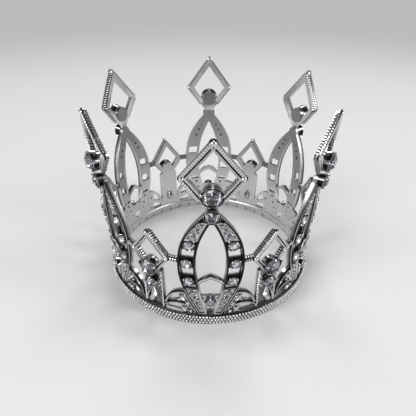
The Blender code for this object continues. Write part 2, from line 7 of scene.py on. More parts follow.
import logging
import math
from collections.abc import Callable, Iterator, Sequence
from contextlib import contextmanager
from dataclasses import dataclass
from enum import Enum
from typing import ClassVar

import bmesh
import bpy
from mathutils import Matrix, Vector
from mathutils.geometry import interpolate_bezier


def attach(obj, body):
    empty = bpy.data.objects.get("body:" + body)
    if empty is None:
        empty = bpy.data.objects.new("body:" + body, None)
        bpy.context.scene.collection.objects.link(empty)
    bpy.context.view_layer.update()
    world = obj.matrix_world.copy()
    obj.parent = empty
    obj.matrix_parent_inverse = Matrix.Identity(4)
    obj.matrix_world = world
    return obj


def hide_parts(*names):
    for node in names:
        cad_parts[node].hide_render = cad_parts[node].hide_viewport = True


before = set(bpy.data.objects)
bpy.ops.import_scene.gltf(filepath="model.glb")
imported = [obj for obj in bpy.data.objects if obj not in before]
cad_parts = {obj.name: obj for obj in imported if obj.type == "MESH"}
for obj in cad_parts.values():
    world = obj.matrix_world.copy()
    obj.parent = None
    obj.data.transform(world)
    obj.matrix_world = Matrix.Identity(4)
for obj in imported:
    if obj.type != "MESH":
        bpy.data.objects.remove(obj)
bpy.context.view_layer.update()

MM = 0.001
TINY = 0.002 * MM  # points this close are one point
FULL_TURN = 2 * math.pi
ORIGIN = (0.0, 0.0, 0.0)
UPRIGHT = (0.0, 0.0, 1.0)
FACING = 0.9  # least slope of a face that looks straight out of the wall
SHARP = math.radians(50)  # a corner over this can be rounded
SMOOTH = math.radians(40)  # a corner under this is shaded smooth
SHADE_MARK = "recess"  # attribute: painted shade and painted dark reflection, 0 on bright metal, 1 darkest
SATIN = "satin"  # attribute: 1 on the plain backs of the castings
ROUND_STEPS = ((0.134, 0.5), (0.366, 0.366), (0.5, 0.134))  # facets of a quarter round, as shares of it
CREST_HANDLE = 4 / 3  # the handles of a cubic curve lie this many times as far out as its crest
BAR_ROUND = 0.45  # share of a half-round bar's width that each side's rounding takes
GRAIN_FACETS = {"segments": 8, "ring_count": 5}
GRAIN_WAIST = 0.2  # a grain spreads and sinks below this, as a share of its radius
GRAIN_SPREAD = 1.25
GRAIN_SINK = 0.4

Point = tuple[float, float]
Triple = tuple[float, float, float]
Colour = tuple[float, float, float]
Rule = Callable[[Vector], float]
Piece = bpy.types.Object
Material = bpy.types.Material

log = logging.getLogger("crown")


class Slot(Enum):
    """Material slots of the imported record."""

    SILVER = "plated_silver"
    CRYSTAL = "crystal"


class Part(Enum):
    """Parts of a mesh that can be selected."""

    VERT = "verts"
    EDGE = "edges"
    FACE = "faces"


# Shaders


class Wire:
    """One value in a shader. Arithmetic on it adds Math nodes."""

    def __init__(self, graph: "Graph", socket: bpy.types.NodeSocket) -> None:
        """Wraps a socket of a graph."""
        self.graph = graph
        self.socket = socket

    def _math(self, operation: str, left: "Wire | float", right: "Wire | float") -> "Wire":
        """One Math node."""
        return self.graph.node("ShaderNodeMath", {"operation": operation}, {0: left, 1: right})

    def __add__(self, other: "Wire | float") -> "Wire":
        """Sum."""
        return self._math("ADD", self, other)

    def __radd__(self, other: float) -> "Wire":
        """Sum, with the plain number first."""
        return self._math("ADD", other, self)

    def __sub__(self, other: "Wire | float") -> "Wire":
        """Difference."""
        return self._math("SUBTRACT", self, other)

    def __rsub__(self, other: float) -> "Wire":
        """Difference, with the plain number first."""
        return self._math("SUBTRACT", other, self)

    def __mul__(self, other: "Wire | float") -> "Wire":
        """Product."""
        return self._math("MULTIPLY", self, other)

    def __rmul__(self, other: float) -> "Wire":
        """Product, with the plain number first."""
        return self._math("MULTIPLY", other, self)

    def between(self, low: float, high: float) -> "Wire":
        """0 at low, 1 at high, and a smooth step between them."""
        settings = {"interpolation_type": "SMOOTHSTEP", "clamp": True}
        return self.graph.node(
            "ShaderNodeMapRange", settings, {"Value": self, "From Min": low, "From Max": high})


class Graph:
    """The node tree of one finish, or of the world."""

    def __init__(self, tree: bpy.types.NodeTree) -> None:
        """Empties a node tree."""
        self.tree = tree
        tree.nodes.clear()

    def node(
            self, kind: str, settings: dict[str, object] | None = None,
            inputs: dict[str | int, object] | None = None, output: str | int = 0) -> Wire:
        """Adds one node.

        Args:
            kind: Blender's name of the node type.
            settings: the node's own properties.
            inputs: numbers, colours or wires for its sockets, by name or index.
            output: the socket that the result leaves by.

        Returns:
            The wire from that socket.
        """
        made = self.tree.nodes.new(kind)
        for name, value in (settings or {}).items():
            setattr(made, name, value)
        for name, value in (inputs or {}).items():
            if isinstance(value, Wire):
                self.tree.links.new(value.socket, made.inputs[name])
            else:
                made.inputs[name].default_value = value
        return Wire(self, made.outputs[output])

    def mark(self, name: str) -> Wire:
        """A mark that the points of a piece carry."""
        return self.node("ShaderNodeAttribute", {"attribute_name": name}, output="Fac")

    def height(self, place: Wire) -> Wire:
        """Height of a place."""
        return self.node("ShaderNodeSeparateXYZ", None, {0: place}, "Z")

    def mix(self, share: Wire, first: "Colour | Wire", second: "Colour | Wire") -> Wire:
        """A colour between two colours."""
        ends = [end if isinstance(end, Wire) else (*end, 1.0) for end in (first, second)]
        return self.node("ShaderNodeMix", {"data_type": "RGBA"}, {0: share, 6: ends[0], 7: ends[1]}, 2)

    def noise(self, place: Wire, grain: float, detail: float) -> Wire:
        """Cloudy noise from 0 to 1, with grains of about a given size."""
        inputs = {"Vector": place, "Scale": 1 / grain, "Detail": detail}
        return self.node("ShaderNodeTexNoise", None, inputs, "Fac")

    def principled(self, inputs: dict[str | int, object]) -> Wire:
        """A Principled shader."""
        return self.node("ShaderNodeBsdfPrincipled", None, inputs)

    def show(self, shader: Wire, kind: str = "ShaderNodeOutputMaterial") -> None:
        """Joins a shader to the output."""
        made = self.tree.nodes.new(kind)
        self.tree.links.new(shader.socket, made.inputs["Surface"])


@dataclass(frozen=True)
class Finish:
    """A material. Each kind of finish writes its own shader."""

    name: str

    def shader(self, graph: Graph, place: Wire) -> Wire:
        """The finish's shader, from the places on a piece."""
        raise NotImplementedError

    def build(self) -> Material:
        """Makes the material.

        Returns:
            The material.
        """
        material = bpy.data.materials.new(self.name)
        material.use_nodes = True
        graph = Graph(material.node_tree)
        graph.show(self.shader(graph, graph.node("ShaderNodeTexCoord", output="Object")))
        return material


@dataclass(frozen=True)
class PlatedSilver(Finish):
    """Bright plate over a cast alloy, satin on the backs, with painted shade and painted reflections."""

    name: str = "bright_plate"
    polished: Colour = (0.70, 0.70, 0.715)
    dulled: Colour = (0.60, 0.60, 0.615)
    dulled_clouds: Point = (0.35, 0.7)
    # painted shade: the satin backs are painted darker towards the top, up to this colour
    back_painted_shade: Colour = (0.26, 0.26, 0.27)
    back_shade_rise: Point = (10.0 * MM, 50.0 * MM)
    # painted shade and painted dark reflection: the colour the shade mark darkens the plate to, and how the
    # mark maps to it
    dark: Colour = (0.022, 0.021, 0.023)
    dark_marks: Point = (0.08, 0.92)
    even_mark: float = 0.75
    grainy_mark: float = 0.5
    cloud_size: float = 6.0 * MM
    cloud_detail: float = 4.0
    grain_size: float = 0.5 * MM
    grain_detail: float = 2.0
    least_roughness: float = 0.06
    cloud_roughness: float = 0.10
    shade_mark_roughness: float = 0.22
    satin_roughness: float = 0.24
    grain_height: float = 0.02 * MM
    grain_strength: float = 0.25

    def shader(self, graph: Graph, place: Wire) -> Wire:
        """The plate's shader.

        Args:
            graph: the material's node tree.
            place: the place on a piece.

        Returns:
            The shader.
        """
        cloud = graph.noise(place, self.cloud_size, self.cloud_detail)
        grain = graph.noise(place, self.grain_size, self.grain_detail)
        satin = graph.mark(SATIN)
        # painted shade and painted dark reflection: the shade mark, broken up by grain, darkens the plate
        depth = (graph.mark(SHADE_MARK) * (self.even_mark + self.grainy_mark * grain)).between(*self.dark_marks)
        wear_and_back_shade = graph.mix(cloud.between(*self.dulled_clouds) * (1.0 - satin), self.polished, self.dulled)
        # painted shade on the backs, darker towards the top
        wear_and_back_shade = graph.mix(graph.height(place).between(*self.back_shade_rise) * satin, wear_and_back_shade, self.back_painted_shade)
        return graph.principled({
            "Base Color": graph.mix(depth, wear_and_back_shade, self.dark),
            "Metallic": 1.0,
            "Roughness": self.least_roughness + self.cloud_roughness * cloud * (1.0 - satin)
            + self.shade_mark_roughness * depth + self.satin_roughness * satin,
            "Normal": graph.node("ShaderNodeBump", None, {
                "Strength": self.grain_strength, "Distance": self.grain_height, "Height": grain}),
        })


@dataclass(frozen=True)
class CutGlass(Finish):
    """Clear cut glass of a rhinestone, with the faintest cloudiness."""

    name: str = "cut_glass"
    clear: Colour = (0.97, 0.97, 0.98)
    smoky: Colour = (0.80, 0.81, 0.84)
    smoky_clouds: Point = (0.3, 0.7)
    cloud_size: float = 1.6 * MM
    cloud_detail: float = 2.0
    least_roughness: float = 0.01
    cloud_roughness: float = 0.04
    ior: float = 1.62

    def shader(self, graph: Graph, place: Wire) -> Wire:
        """The glass's shader, from the places on a piece."""
        cloud = graph.noise(place, self.cloud_size, self.cloud_detail)
        return graph.principled({
            "Base Color": graph.mix(cloud.between(*self.smoky_clouds), self.clear, self.smoky),
            "Roughness": self.least_roughness + self.cloud_roughness * cloud,
            "Transmission Weight": 1.0,
            "IOR": self.ior,
        })


@dataclass(frozen=True)
class SilverFoil(Finish):
    """Mirror foil on the back of a rhinestone; by default darkened as a painted dark reflection."""

    name: str = "mirror_foil"
    # painted dark reflection: these default colours are darker than bare foil
    bright: Colour = (0.56, 0.56, 0.59)
    grey: Colour = (0.10, 0.10, 0.11)
    grey_patches: Point = (0.4, 0.62)
    patch_size: float = 0.8 * MM
    patch_detail: float = 1.0
    least_roughness: float = 0.03
    patch_roughness: float = 0.12

    def shader(self, graph: Graph, place: Wire) -> Wire:
        """The foil's shader, from the places on a piece."""
        patch = graph.noise(place, self.patch_size, self.patch_detail)
        return graph.principled({
            "Base Color": graph.mix(patch.between(*self.grey_patches), self.bright, self.grey),
            "Metallic": 1.0,
            "Roughness": self.least_roughness + self.patch_roughness * patch,
        })


@dataclass(frozen=True)
class FloorPaint(Finish):
    """Pale matt paint of the studio floor, which ends softly some way off."""

    name: str = "pale_floor"
    light: Colour = (0.80, 0.80, 0.80)
    shade: Colour = (0.77, 0.77, 0.775)
    patch_size: float = 0.2
    patch_detail: float = 2.0
    roughness: float = 0.8
    end: Point = (0.22, 0.55)

    def shader(self, graph: Graph, place: Wire) -> Wire:
        """The floor's shader.

        Args:
            graph: the material's node tree.
            place: the place on the floor.

        Returns:
            The shader.
        """
        patch = graph.noise(place, self.patch_size, self.patch_detail)
        paint = graph.principled({
            "Base Color": graph.mix(patch, self.light, self.shade), "Roughness": self.roughness})
        reach = graph.node("ShaderNodeVectorMath", {"operation": "LENGTH"}, {0: place}, "Value")
        beyond = graph.node("ShaderNodeBsdfTransparent")
        return graph.node("ShaderNodeMixShader", None, {0: reach.between(*self.end), 1: paint, 2: beyond})


@dataclass(frozen=True)
class Finishes:
    """The materials of the crown."""

    silver: Material
    glass: Material
    foil: Material
    soft_foil: Material


# Modelling bench


def only(obj: Piece) -> None:
    """Selects one object and makes it the active one.

    Args:
        obj: the object.
    """
    bpy.ops.object.select_all(action="DESELECT")
    obj.select_set(True)
    bpy.context.view_layer.objects.active = obj


def start_from(primitive: Callable[..., object], **settings: object) -> Piece:
    """Adds one primitive, selected alone, with its place and turn in its mesh.

    Args:
        primitive: Blender's operator.
        settings: its sizes, place and turn.

    Returns:
        The new shape.
    """
    bpy.ops.object.select_all(action="DESELECT")
    primitive(**settings)
    bpy.ops.object.transform_apply(location=True, rotation=True, scale=False)
    return bpy.context.object


@contextmanager
def editing(obj: Piece) -> Iterator[None]:
    """Opens an object in edit mode with nothing selected, and closes it after the work.

    Args:
        obj: the object to work on.

    Returns:
        Nothing to use: the operators inside the block act on the object.
    """
    only(obj)
    bpy.ops.object.mode_set(mode="EDIT")
    bpy.ops.mesh.select_mode(type="VERT")
    bpy.ops.mesh.select_all(action="DESELECT")
    try:
        yield
    finally:
        bpy.ops.object.mode_set(mode="OBJECT")


def select(obj: Piece, part: Part, test: Callable[..., bool]) -> None:
    """Selects, in edit mode, the parts of a shape that pass a test.

    Args:
        obj: the shape.
        part: the kind of part to test.
        test: True for a part that is to be selected.
    """
    bpy.ops.mesh.select_mode(type=part.name)
    bpy.ops.mesh.select_all(action="DESELECT")
    shape = bmesh.from_edit_mesh(obj.data)
    for item in getattr(shape, part.value):
        if test(item):
            item.select_set(True)
    if part is Part.VERT:
        shape.select_flush(True)
    bmesh.update_edit_mesh(obj.data)


def select_all() -> None:
    """Selects all of the shape in edit mode."""
    bpy.ops.mesh.select_all(action="SELECT")


def extrude(value: Triple) -> None:
    """Extrudes what is selected and moves it."""
    bpy.ops.mesh.extrude_region_move(TRANSFORM_OT_translate={"value": value})


def extrude_line(value: Triple) -> None:
    """Extrudes the edges that are selected and moves them."""
    bpy.ops.mesh.extrude_edges_move(TRANSFORM_OT_translate={"value": value})


def move(value: Triple) -> None:
    """Moves what is selected."""
    bpy.ops.transform.translate(value=value)


def resize(value: Triple, centre: Triple = ORIGIN) -> None:
    """Scales what is selected about a point."""
    bpy.ops.transform.resize(value=value, center_override=centre)


def spin_set(count: int) -> None:
    """Repeats what is selected round the upright axis, up to a number of copies in all."""
    angle = FULL_TURN * (count - 1) / count
    bpy.ops.mesh.spin(steps=count - 1, dupli=True, angle=angle, center=ORIGIN, axis=UPRIGHT)


def slice_at(place: Triple, normal: Triple) -> None:
    """Cuts new edges into the shape in edit mode, along a plane."""
    select_all()
    bpy.ops.mesh.bisect(plane_co=place, plane_no=normal, threshold=TINY)


def face_outwards() -> None:
    """Points every face of the shape in edit mode outwards."""
    select_all()
    bpy.ops.mesh.normals_make_consistent(inside=False)


def tidy_normals() -> None:
    """Merges doubles and points every face of the shape in edit mode outwards."""
    select_all()
    bpy.ops.mesh.remove_doubles(threshold=TINY)
    face_outwards()


def apply_modifier(obj: Piece, kind: str, **settings: object) -> None:
    """Adds one modifier with its settings and applies it.

    Args:
        obj: the shape.
        kind: Blender's name of the modifier type.
        settings: the modifier's properties.
    """
    only(obj)
    modifier = obj.modifiers.new(kind.lower(), kind)
    for name, value in settings.items():
        setattr(modifier, name, value)
    bpy.ops.object.modifier_apply(modifier=modifier.name)


def joined(name: str, parts: Sequence[Piece]) -> Piece:
    """Joins shapes into one named object.

    Args:
        name: the object's name.
        parts: the shapes, two or more.

    Returns:
        The object.
    """
    bpy.ops.object.select_all(action="DESELECT")
    for part in parts:
        part.select_set(True)
    bpy.context.view_layer.objects.active = parts[0]
    bpy.ops.object.join()
    parts[0].name = name
    return parts[0]


def cut(obj: Piece, *cutters: Piece) -> None:
    """Takes cutters out of a shape, in one go, and removes them.

    Args:
        obj: the shape.
        cutters: the cutters.
    """
    cutter = joined("cutters", cutters) if len(cutters) > 1 else cutters[0]
    apply_modifier(obj, "BOOLEAN", operation="DIFFERENCE", solver="EXACT", object=cutter)
    bpy.data.objects.remove(cutter)


def duplicate(obj: Piece, matrix: Matrix) -> Piece:
    """Copies a shape.

    Args:
        obj: the shape.
        matrix: moves the copy's mesh.

    Returns:
        The copy, with its own mesh.
    """
    only(obj)
    bpy.ops.object.duplicate()
    copy = bpy.context.object
    copy.data.transform(matrix)
    return copy


def mirrored(obj: Piece) -> Piece:
    """Copies a flat shape to the other side of u = 0.

    Args:
        obj: the shape.

    Returns:
        Its mirror image.
    """
    copy = duplicate(obj, Matrix.Identity(4))
    with editing(copy):
        select_all()
        bpy.ops.transform.mirror(constraint_axis=(True, False, False), center_override=ORIGIN)
        tidy_normals()
    return copy


def drawn(points: Sequence[Triple], filled: bool = False) -> Piece:
    """A closed line through points, drawn from a circle.

    Args:
        points: the corners of the line.
        filled: whether a face fills it.

    Returns:
        The flat shape.
    """
    obj = start_from(
        bpy.ops.mesh.primitive_circle_add, vertices=len(points), radius=MM,
        fill_type="NGON" if filled else "NOTHING")
    for vert, place in zip(obj.data.vertices, points):
        vert.co = place
    return obj


def plate(outline: Sequence[Point], bottom: float, top: float) -> Piece:
    """A flat plate.

    Args:
        outline: its outline, in u and z.
        bottom: d of its back.
        top: d of its front.

    Returns:
        The plate.
    """
    obj = drawn([(u, z, bottom) for u, z in outline], filled=True)
    with editing(obj):
        select_all()
        extrude((0.0, 0.0, top - bottom))
        face_outwards()
    return obj


def at_depth(edge: bmesh.types.BMEdge, d: float) -> bool:
    """True for an edge that lies at a depth."""
    return all(abs(vert.co.z - d) < TINY for vert in edge.verts)


def select_front(obj: Piece) -> None:
    """Selects, in edit mode, the front of a plate."""
    top = max(vert.co.z for vert in bmesh.from_edit_mesh(obj.data).verts)
    select(obj, Part.FACE, lambda face: face.normal.z > FACING and face.calc_center_median().z > top - TINY)


def climb_round(width: float, height: float) -> None:
    """Insets the selected front in steps that climb a quarter round, from its side to its crest."""
    for across, rise in ROUND_STEPS:
        bpy.ops.mesh.inset(thickness=across * width, depth=rise * height, use_even_offset=True)


def sink_channel(obj: Piece, rail: float, depth: float, rounding: float) -> None:
    """Sinks the front of a plate and leaves a rounded rail round it.

    Args:
        obj: the plate.
        rail: width of the rail.
        depth: from the rail's top to the channel's floor.
        rounding: radius of the rail's rounded edges.
    """
    with editing(obj):
        select_front(obj)
        move((0.0, 0.0, -rounding))
        climb_round(rounding, rounding)
        bpy.ops.mesh.inset(thickness=rail - 2 * rounding, use_even_offset=True)
        for across, drop in reversed(ROUND_STEPS):
            bpy.ops.mesh.inset(thickness=across * rounding, depth=-drop * rounding, use_even_offset=True)
        extrude((0.0, 0.0, rounding - depth))


def round_front(obj: Piece, rounding: float) -> None:
    """Rounds the front edges of a plate.

    Args:
        obj: the plate.
        rounding: radius of the rounding.
    """
    with editing(obj):
        select_front(obj)
        move((0.0, 0.0, -rounding))
        climb_round(rounding, rounding)


def mark(obj: Piece, rule: Rule, name: str = SHADE_MARK) -> None:
    """Marks each point of a shape for its finish.

    Args:
        obj: the shape.
        rule: gives the mark, from 0 to 1, for a point.
        name: the attribute that keeps the marks.
    """
    marks = obj.data.attributes.get(name)
    if marks is None:
        marks = obj.data.attributes.new(name, "FLOAT", "POINT")
    for vert in obj.data.vertices:
        marks.data[vert.index].value = min(1.0, max(0.0, rule(vert.co)))


# Lines on the flat wall


def spaced(start: float, end: float, count: int) -> list[float]:
    """Evenly spaced values, both ends included, with a number of steps between them."""
    return [start + (end - start) * i / count for i in range(count + 1)]


def curve(start: Point, first: Point, second: Point, end: Point, count: int = 14) -> list[Point]:
    """Points of one cubic curve, both ends included."""
    handles = [Vector((*point, 0.0)) for point in (start, first, second, end)]
    return [(point.x, point.y) for point in interpolate_bezier(*handles, count)]


def swing(start: Point, end: Point, *handles: Point) -> list[Point]:
    """Points of one cubic curve whose two handles are shares of the way, in u and z, from start to end."""
    run_u, run_z = end[0] - start[0], end[1] - start[1]
    return curve(start, *[(start[0] + u * run_u, start[1] + z * run_z) for u, z in handles], end)


def loop_edge(foot: Point, belly: Point, top: Point, handles: Sequence[Point]) -> list[Point]:
    """An edge that swings out from its foot to its belly and in to its top, with two handles for each."""
    return swing(foot, belly, *handles[:2]) + swing(belly, top, *handles[2:])[1:]


def both_sides(right: Sequence[Point]) -> list[Point]:
    """A line and its mirror image at u = 0, in one outline. Points in the middle are taken once."""
    return [*right, *[(-u, z) for u, z in reversed(right) if abs(u) > TINY]]


def ring_of(middle: Point, radius: float, count: int) -> list[Point]:
    """Corners of a regular outline round a point, against the clock."""
    turns = [FULL_TURN * i / count for i in range(count)]
    return [(middle[0] + radius * math.cos(turn), middle[1] + radius * math.sin(turn)) for turn in turns]


def u_at(edge: Sequence[Point], z: float) -> float:
    """Where an edge that runs up the wall crosses a height.

    Args:
        edge: the points of the edge.
        z: the height.

    Returns:
        The place along the wall, which is that of the nearer end beyond the edge's ends.
    """
    for (u0, z0), (u1, z1) in zip(edge, edge[1:]):
        if min(z0, z1) <= z <= max(z0, z1) and z0 != z1:
            return u0 + (u1 - u0) * (z - z0) / (z1 - z0)
    return min(edge[0], edge[-1], key=lambda end: abs(end[1] - z))[0]


def z_at(edge: Sequence[Point], u: float) -> float:
    """Height at u of an edge that runs along the wall."""
    return u_at([(z, along) for along, z in edge], u)


def beside(line: Sequence[Point], offset: float) -> list[Point]:
    """A line moved sideways, to the right of its own direction.

    Args:
        line: the points of the line.
        offset: how far to move it.

    Returns:
        The moved points.
    """
    moved = []
    for i, (u, z) in enumerate(line):
        before, after = line[max(0, i - 1)], line[min(len(line) - 1, i + 1)]
        run = math.hypot(after[0] - before[0], after[1] - before[1])
        moved.append((u + offset * (after[1] - before[1]) / run, z - offset * (after[0] - before[0]) / run))
    return moved


def apart(line: Sequence[Point], place: Vector) -> float:
    """Least distance, in u and z, from a point to a line.

    Args:
        line: the points of the line.
        place: the point, as u, z and d.

    Returns:
        The distance.
    """
    spot = place.xy
    least = math.inf
    for one, two in zip(line, line[1:]):
        start, run = Vector(one), Vector(two) - Vector(one)
        share = min(1.0, max(0.0, (spot - start).dot(run) / run.length_squared))
        least = min(least, (spot - start - share * run).length)
    return least


def rounded_bar(line: Sequence[Point], left: float, right: float, bottom: float, top: float) -> Piece:
    """A half-round bar along a line.

    Args:
        line: the points of the line.
        left: how far the bar reaches to the left of the line's direction.
        right: how far it reaches to the right.
        bottom: d of its back.
        top: d of its crest.

    Returns:
        The bar.
    """
    bar = plate([*beside(line, right), *reversed(beside(line, -left))], bottom, top)
    round_front(bar, BAR_ROUND * (left + right))
    return bar


@dataclass(frozen=True)
class Wall:
    """The round, slightly flared wall that every casting is wrapped to."""

    sectors: int = 6
    radius: float = 32.5 * MM
    flare: float = 1.134  # growth of the radius, per metre, with the square of the height
    thickness: float = 1.7 * MM
    pocket: float = 0.9 * MM
    rail: float = 0.68 * MM
    gap: float = 0.1 * MM
    back_step: float = 0.05 * MM
    satin_step: float = 0.1 * MM
    foot_z: float = 3.1 * MM
    strip: float = 2.5 * MM
    # heights over which the rails' painted dark reflection comes in
    dark_reflection_z: Point = (10.5 * MM, 14.0 * MM)
    hole_share: float = 0.42
    hole_sides: int = 8
    hole_top: float = -0.5 * MM

    def radius_at(self, z: float) -> float:
        """Radius of the rail tops at a height."""
        return self.radius + self.flare * z * z

    def half_sector(self, z: float) -> float:
        """Length along the wall from a spire's middle to the next short point's."""
        return self.radius_at(z) * math.pi / self.sectors

    def back(self) -> float:
        """Depth of the backs of small forms, which stop just short of the wall's own back."""
        return self.back_step - self.thickness

    def dark_reflection_at(self, z: float) -> float:
        """Share of painted dark reflection on the rails at a height: none near the foot."""
        return min(1.0, max(0.0, (z - self.dark_reflection_z[0]) / (self.dark_reflection_z[1] - self.dark_reflection_z[0])))

    def floor_shade(self, place: Vector, floor: float) -> float:
        """Painted shade on a sunk floor at a point: full on its front, and less and less through to its back.
        """
        return floor * min(1.0, (place.z + self.thickness) / (self.thickness - self.pocket))

    def through(self, outline: Sequence[Point]) -> Piece:
        """A cutter that reaches right through the wall."""
        return plate(outline, -2 * self.thickness, self.thickness)

    def hole(self, middle: Point, radius: float) -> Piece:
        """A cutter for the small hole behind a stone of a given radius."""
        ring = ring_of(middle, self.hole_share * radius, self.hole_sides)
        return plate(ring, -2 * self.thickness, self.hole_top)

    def _slice(self, obj: Piece) -> None:
        """Slices a flat shape into upright strips and rows, and these into triangles.

        Args:
            obj: the flat shape.
        """
        heights = [vert.co.y for vert in obj.data.vertices]
        low, row = min(heights), 2 * self.strip
        strips = int(max(abs(vert.co.x) for vert in obj.data.vertices) / self.strip)
        rows = int((max(heights) - low) / row)
        with editing(obj):
            for i in range(-strips, strips + 1):
                slice_at((i * self.strip, 0.0, 0.0), (1.0, 0.0, 0.0))
            for i in range(rows):
                slice_at((0.0, low + (i + 1) * row, 0.0), (0.0, 1.0, 0.0))
            select_all()
            bpy.ops.mesh.quads_convert_to_tris(ngon_method="BEAUTY")

    def wrap(self, obj: Piece, faceted: bool = False) -> None:
        """Wraps a flat shape round the axis.

        Args:
            obj: the flat shape.
            faceted: keeps every facet flat and unsliced.
        """
        if not faceted:
            self._slice(obj)
        mark(obj, lambda place: float(place.z < self.satin_step - self.thickness), SATIN)
        for vert in obj.data.vertices:
            u, z, d = vert.co
            radius = self.radius_at(z)
            vert.co = ((radius + d) * math.sin(u / radius), -(radius + d) * math.cos(u / radius), z)
        obj.data.update()
        only(obj)
        if faceted:
            bpy.ops.object.shade_flat()
        else:
            bpy.ops.object.shade_smooth_by_angle(angle=SMOOTH)


# Small forms


@dataclass
class RidgedBar:
    """A bar with ridges round its front and sides, like a close coil.

    The valley is a share of the pitch, the shoulder of the depth and the crest of the half width. The last
    three fields are painted shade, from 0 on bright metal to 1 on dark.
    """

    half: float
    back: float
    front: float
    pitch: float = 0.75 * MM
    groove: float = 0.2 * MM
    valley: float = 0.1
    shoulder: float = 0.3
    crest: float = 0.55
    side_shade: float = 0.0
    face: float = 0.0
    groove_shade: float = 1.0

    def section(self) -> list[Point]:
        """The section over the ridges, as places across the bar and depths, against the clock."""
        edge = self.front - self.shoulder * (self.front - self.back)
        return [
            (-self.half, self.back), (self.half, self.back), (self.half, edge),
            (self.crest * self.half, self.front), (-self.crest * self.half, self.front), (-self.half, edge)]

    def tone(self, place: Vector, step: float) -> float:
        """Painted shade at a point: the bar's own shades in the grooves, on the front and on the sides."""
        rest = self.face if place.y > self.front - TINY else self.side_shade
        return self.groove_shade if (place.z / step + self.valley) % 1.0 < 2 * self.valley else rest

    def build(self, start: Point, end: Point) -> Piece:
        """Makes one bar: one ridge drawn from its section, then repeated along the bar.

        Args:
            start: where it starts, in u and z.
            end: where it ends.

        Returns:
            The bar.
        """
        run = Vector((end[0] - start[0], end[1] - start[1], 0.0))
        count = max(2, round(run.length / self.pitch))
        step = run.length / count
        share = 1 - self.groove / self.half
        section = self.section()
        obj = drawn([(share * across, self.back + share * (d - self.back), 0.0) for across, d in section])
        with editing(obj):
            select_all()
            extrude_line((0.0, 0.0, step))
            select(obj, Part.EDGE, lambda edge: abs(edge.verts[0].co.z - edge.verts[1].co.z) > step / 2)
            bpy.ops.mesh.subdivide(number_cuts=2)
            select(obj, Part.VERT, lambda vert: self.valley < vert.co.z / step < 1 - self.valley)
            resize((1 / share, 1 / share, 1.0), (0.0, self.back, 0.0))
        apply_modifier(
            obj, "ARRAY", count=count, use_relative_offset=False, use_constant_offset=True,
            constant_offset_displace=(0.0, 0.0, step), use_merge_vertices=True, merge_threshold=TINY)
        with editing(obj):
            select_all()
            bpy.ops.mesh.fill_holes(sides=len(section))
        # painted shade in the grooves, on the front and on the sides
        mark(obj, lambda place: self.tone(place, step))
        along = run.normalized()
        across = Vector((along.y, -along.x, 0.0))
        turn = Matrix((across, Vector(UPRIGHT), along)).transposed()
        obj.data.transform(Matrix.Translation((*start, 0.0)) @ turn.to_4x4())
        with editing(obj):
            tidy_normals()
        return obj


@dataclass
class Brilliant:
    """A round cut stone of radius 1: table, crown facets, thin girdle and a foiled back."""

    girdle_sides: int
    culet: float
    depth: float
    table: float = 0.56
    crown: float = 0.42
    girdle: float = 0.08
    foil_slope: float = 0.1

    def build(self, glass: Material, foil: Material) -> Piece:
        """Makes the stone, with its girdle's top at d = 0.

        Args:
            glass: material of the front.
            foil: material of the back.

        Returns:
            The stone.
        """
        obj = start_from(
            bpy.ops.mesh.primitive_circle_add, vertices=self.girdle_sides, radius=1.0, fill_type="NOTHING")
        with editing(obj):
            bpy.ops.mesh.primitive_circle_add(
                vertices=self.girdle_sides // 2, radius=self.table, fill_type="NOTHING",
                location=(0.0, 0.0, self.crown))
            select_all()
            bpy.ops.mesh.bridge_edge_loops()
            select(obj, Part.EDGE, lambda edge: at_depth(edge, self.crown))
            bpy.ops.mesh.edge_face_add()
            select(obj, Part.EDGE, lambda edge: at_depth(edge, 0.0))
            extrude_line((0.0, 0.0, -self.girdle))
            extrude_line((0.0, 0.0, -self.depth))
            resize((self.culet, self.culet, 1.0))
            bpy.ops.mesh.edge_face_add()
            tidy_normals()
        obj.data.materials.append(glass)
        obj.data.materials.append(foil)
        for face in obj.data.polygons:
            face.material_index = int(face.normal.z < -self.foil_slope)
        return obj


@dataclass
class StoneBox:
    """The stones to copy: one for the cups, and a flatter one for rows, leaves and the spires' feet."""

    large: Piece
    small: Piece

    @classmethod
    def filled(cls, finishes: Finishes) -> "StoneBox":
        """Makes both stones."""
        return cls(
            Brilliant(girdle_sides=10, culet=0.1, depth=0.5).build(finishes.glass, finishes.foil),
            Brilliant(girdle_sides=8, culet=0.06, depth=0.33).build(finishes.glass, finishes.soft_foil))

    def clear(self) -> None:
        """Removes the stones once they are copied."""
        for stone in (self.large, self.small):
            bpy.data.objects.remove(stone)


def set_stone(stone: Piece, place: Triple, radius: float, turn: float = 0.0) -> Piece:
    """A copy of a stone of radius 1 at its size and place, turned about its own middle."""
    size = Matrix.Rotation(turn, 4, "Z") @ Matrix.Scale(radius, 4)
    return duplicate(stone, Matrix.Translation(place) @ size)


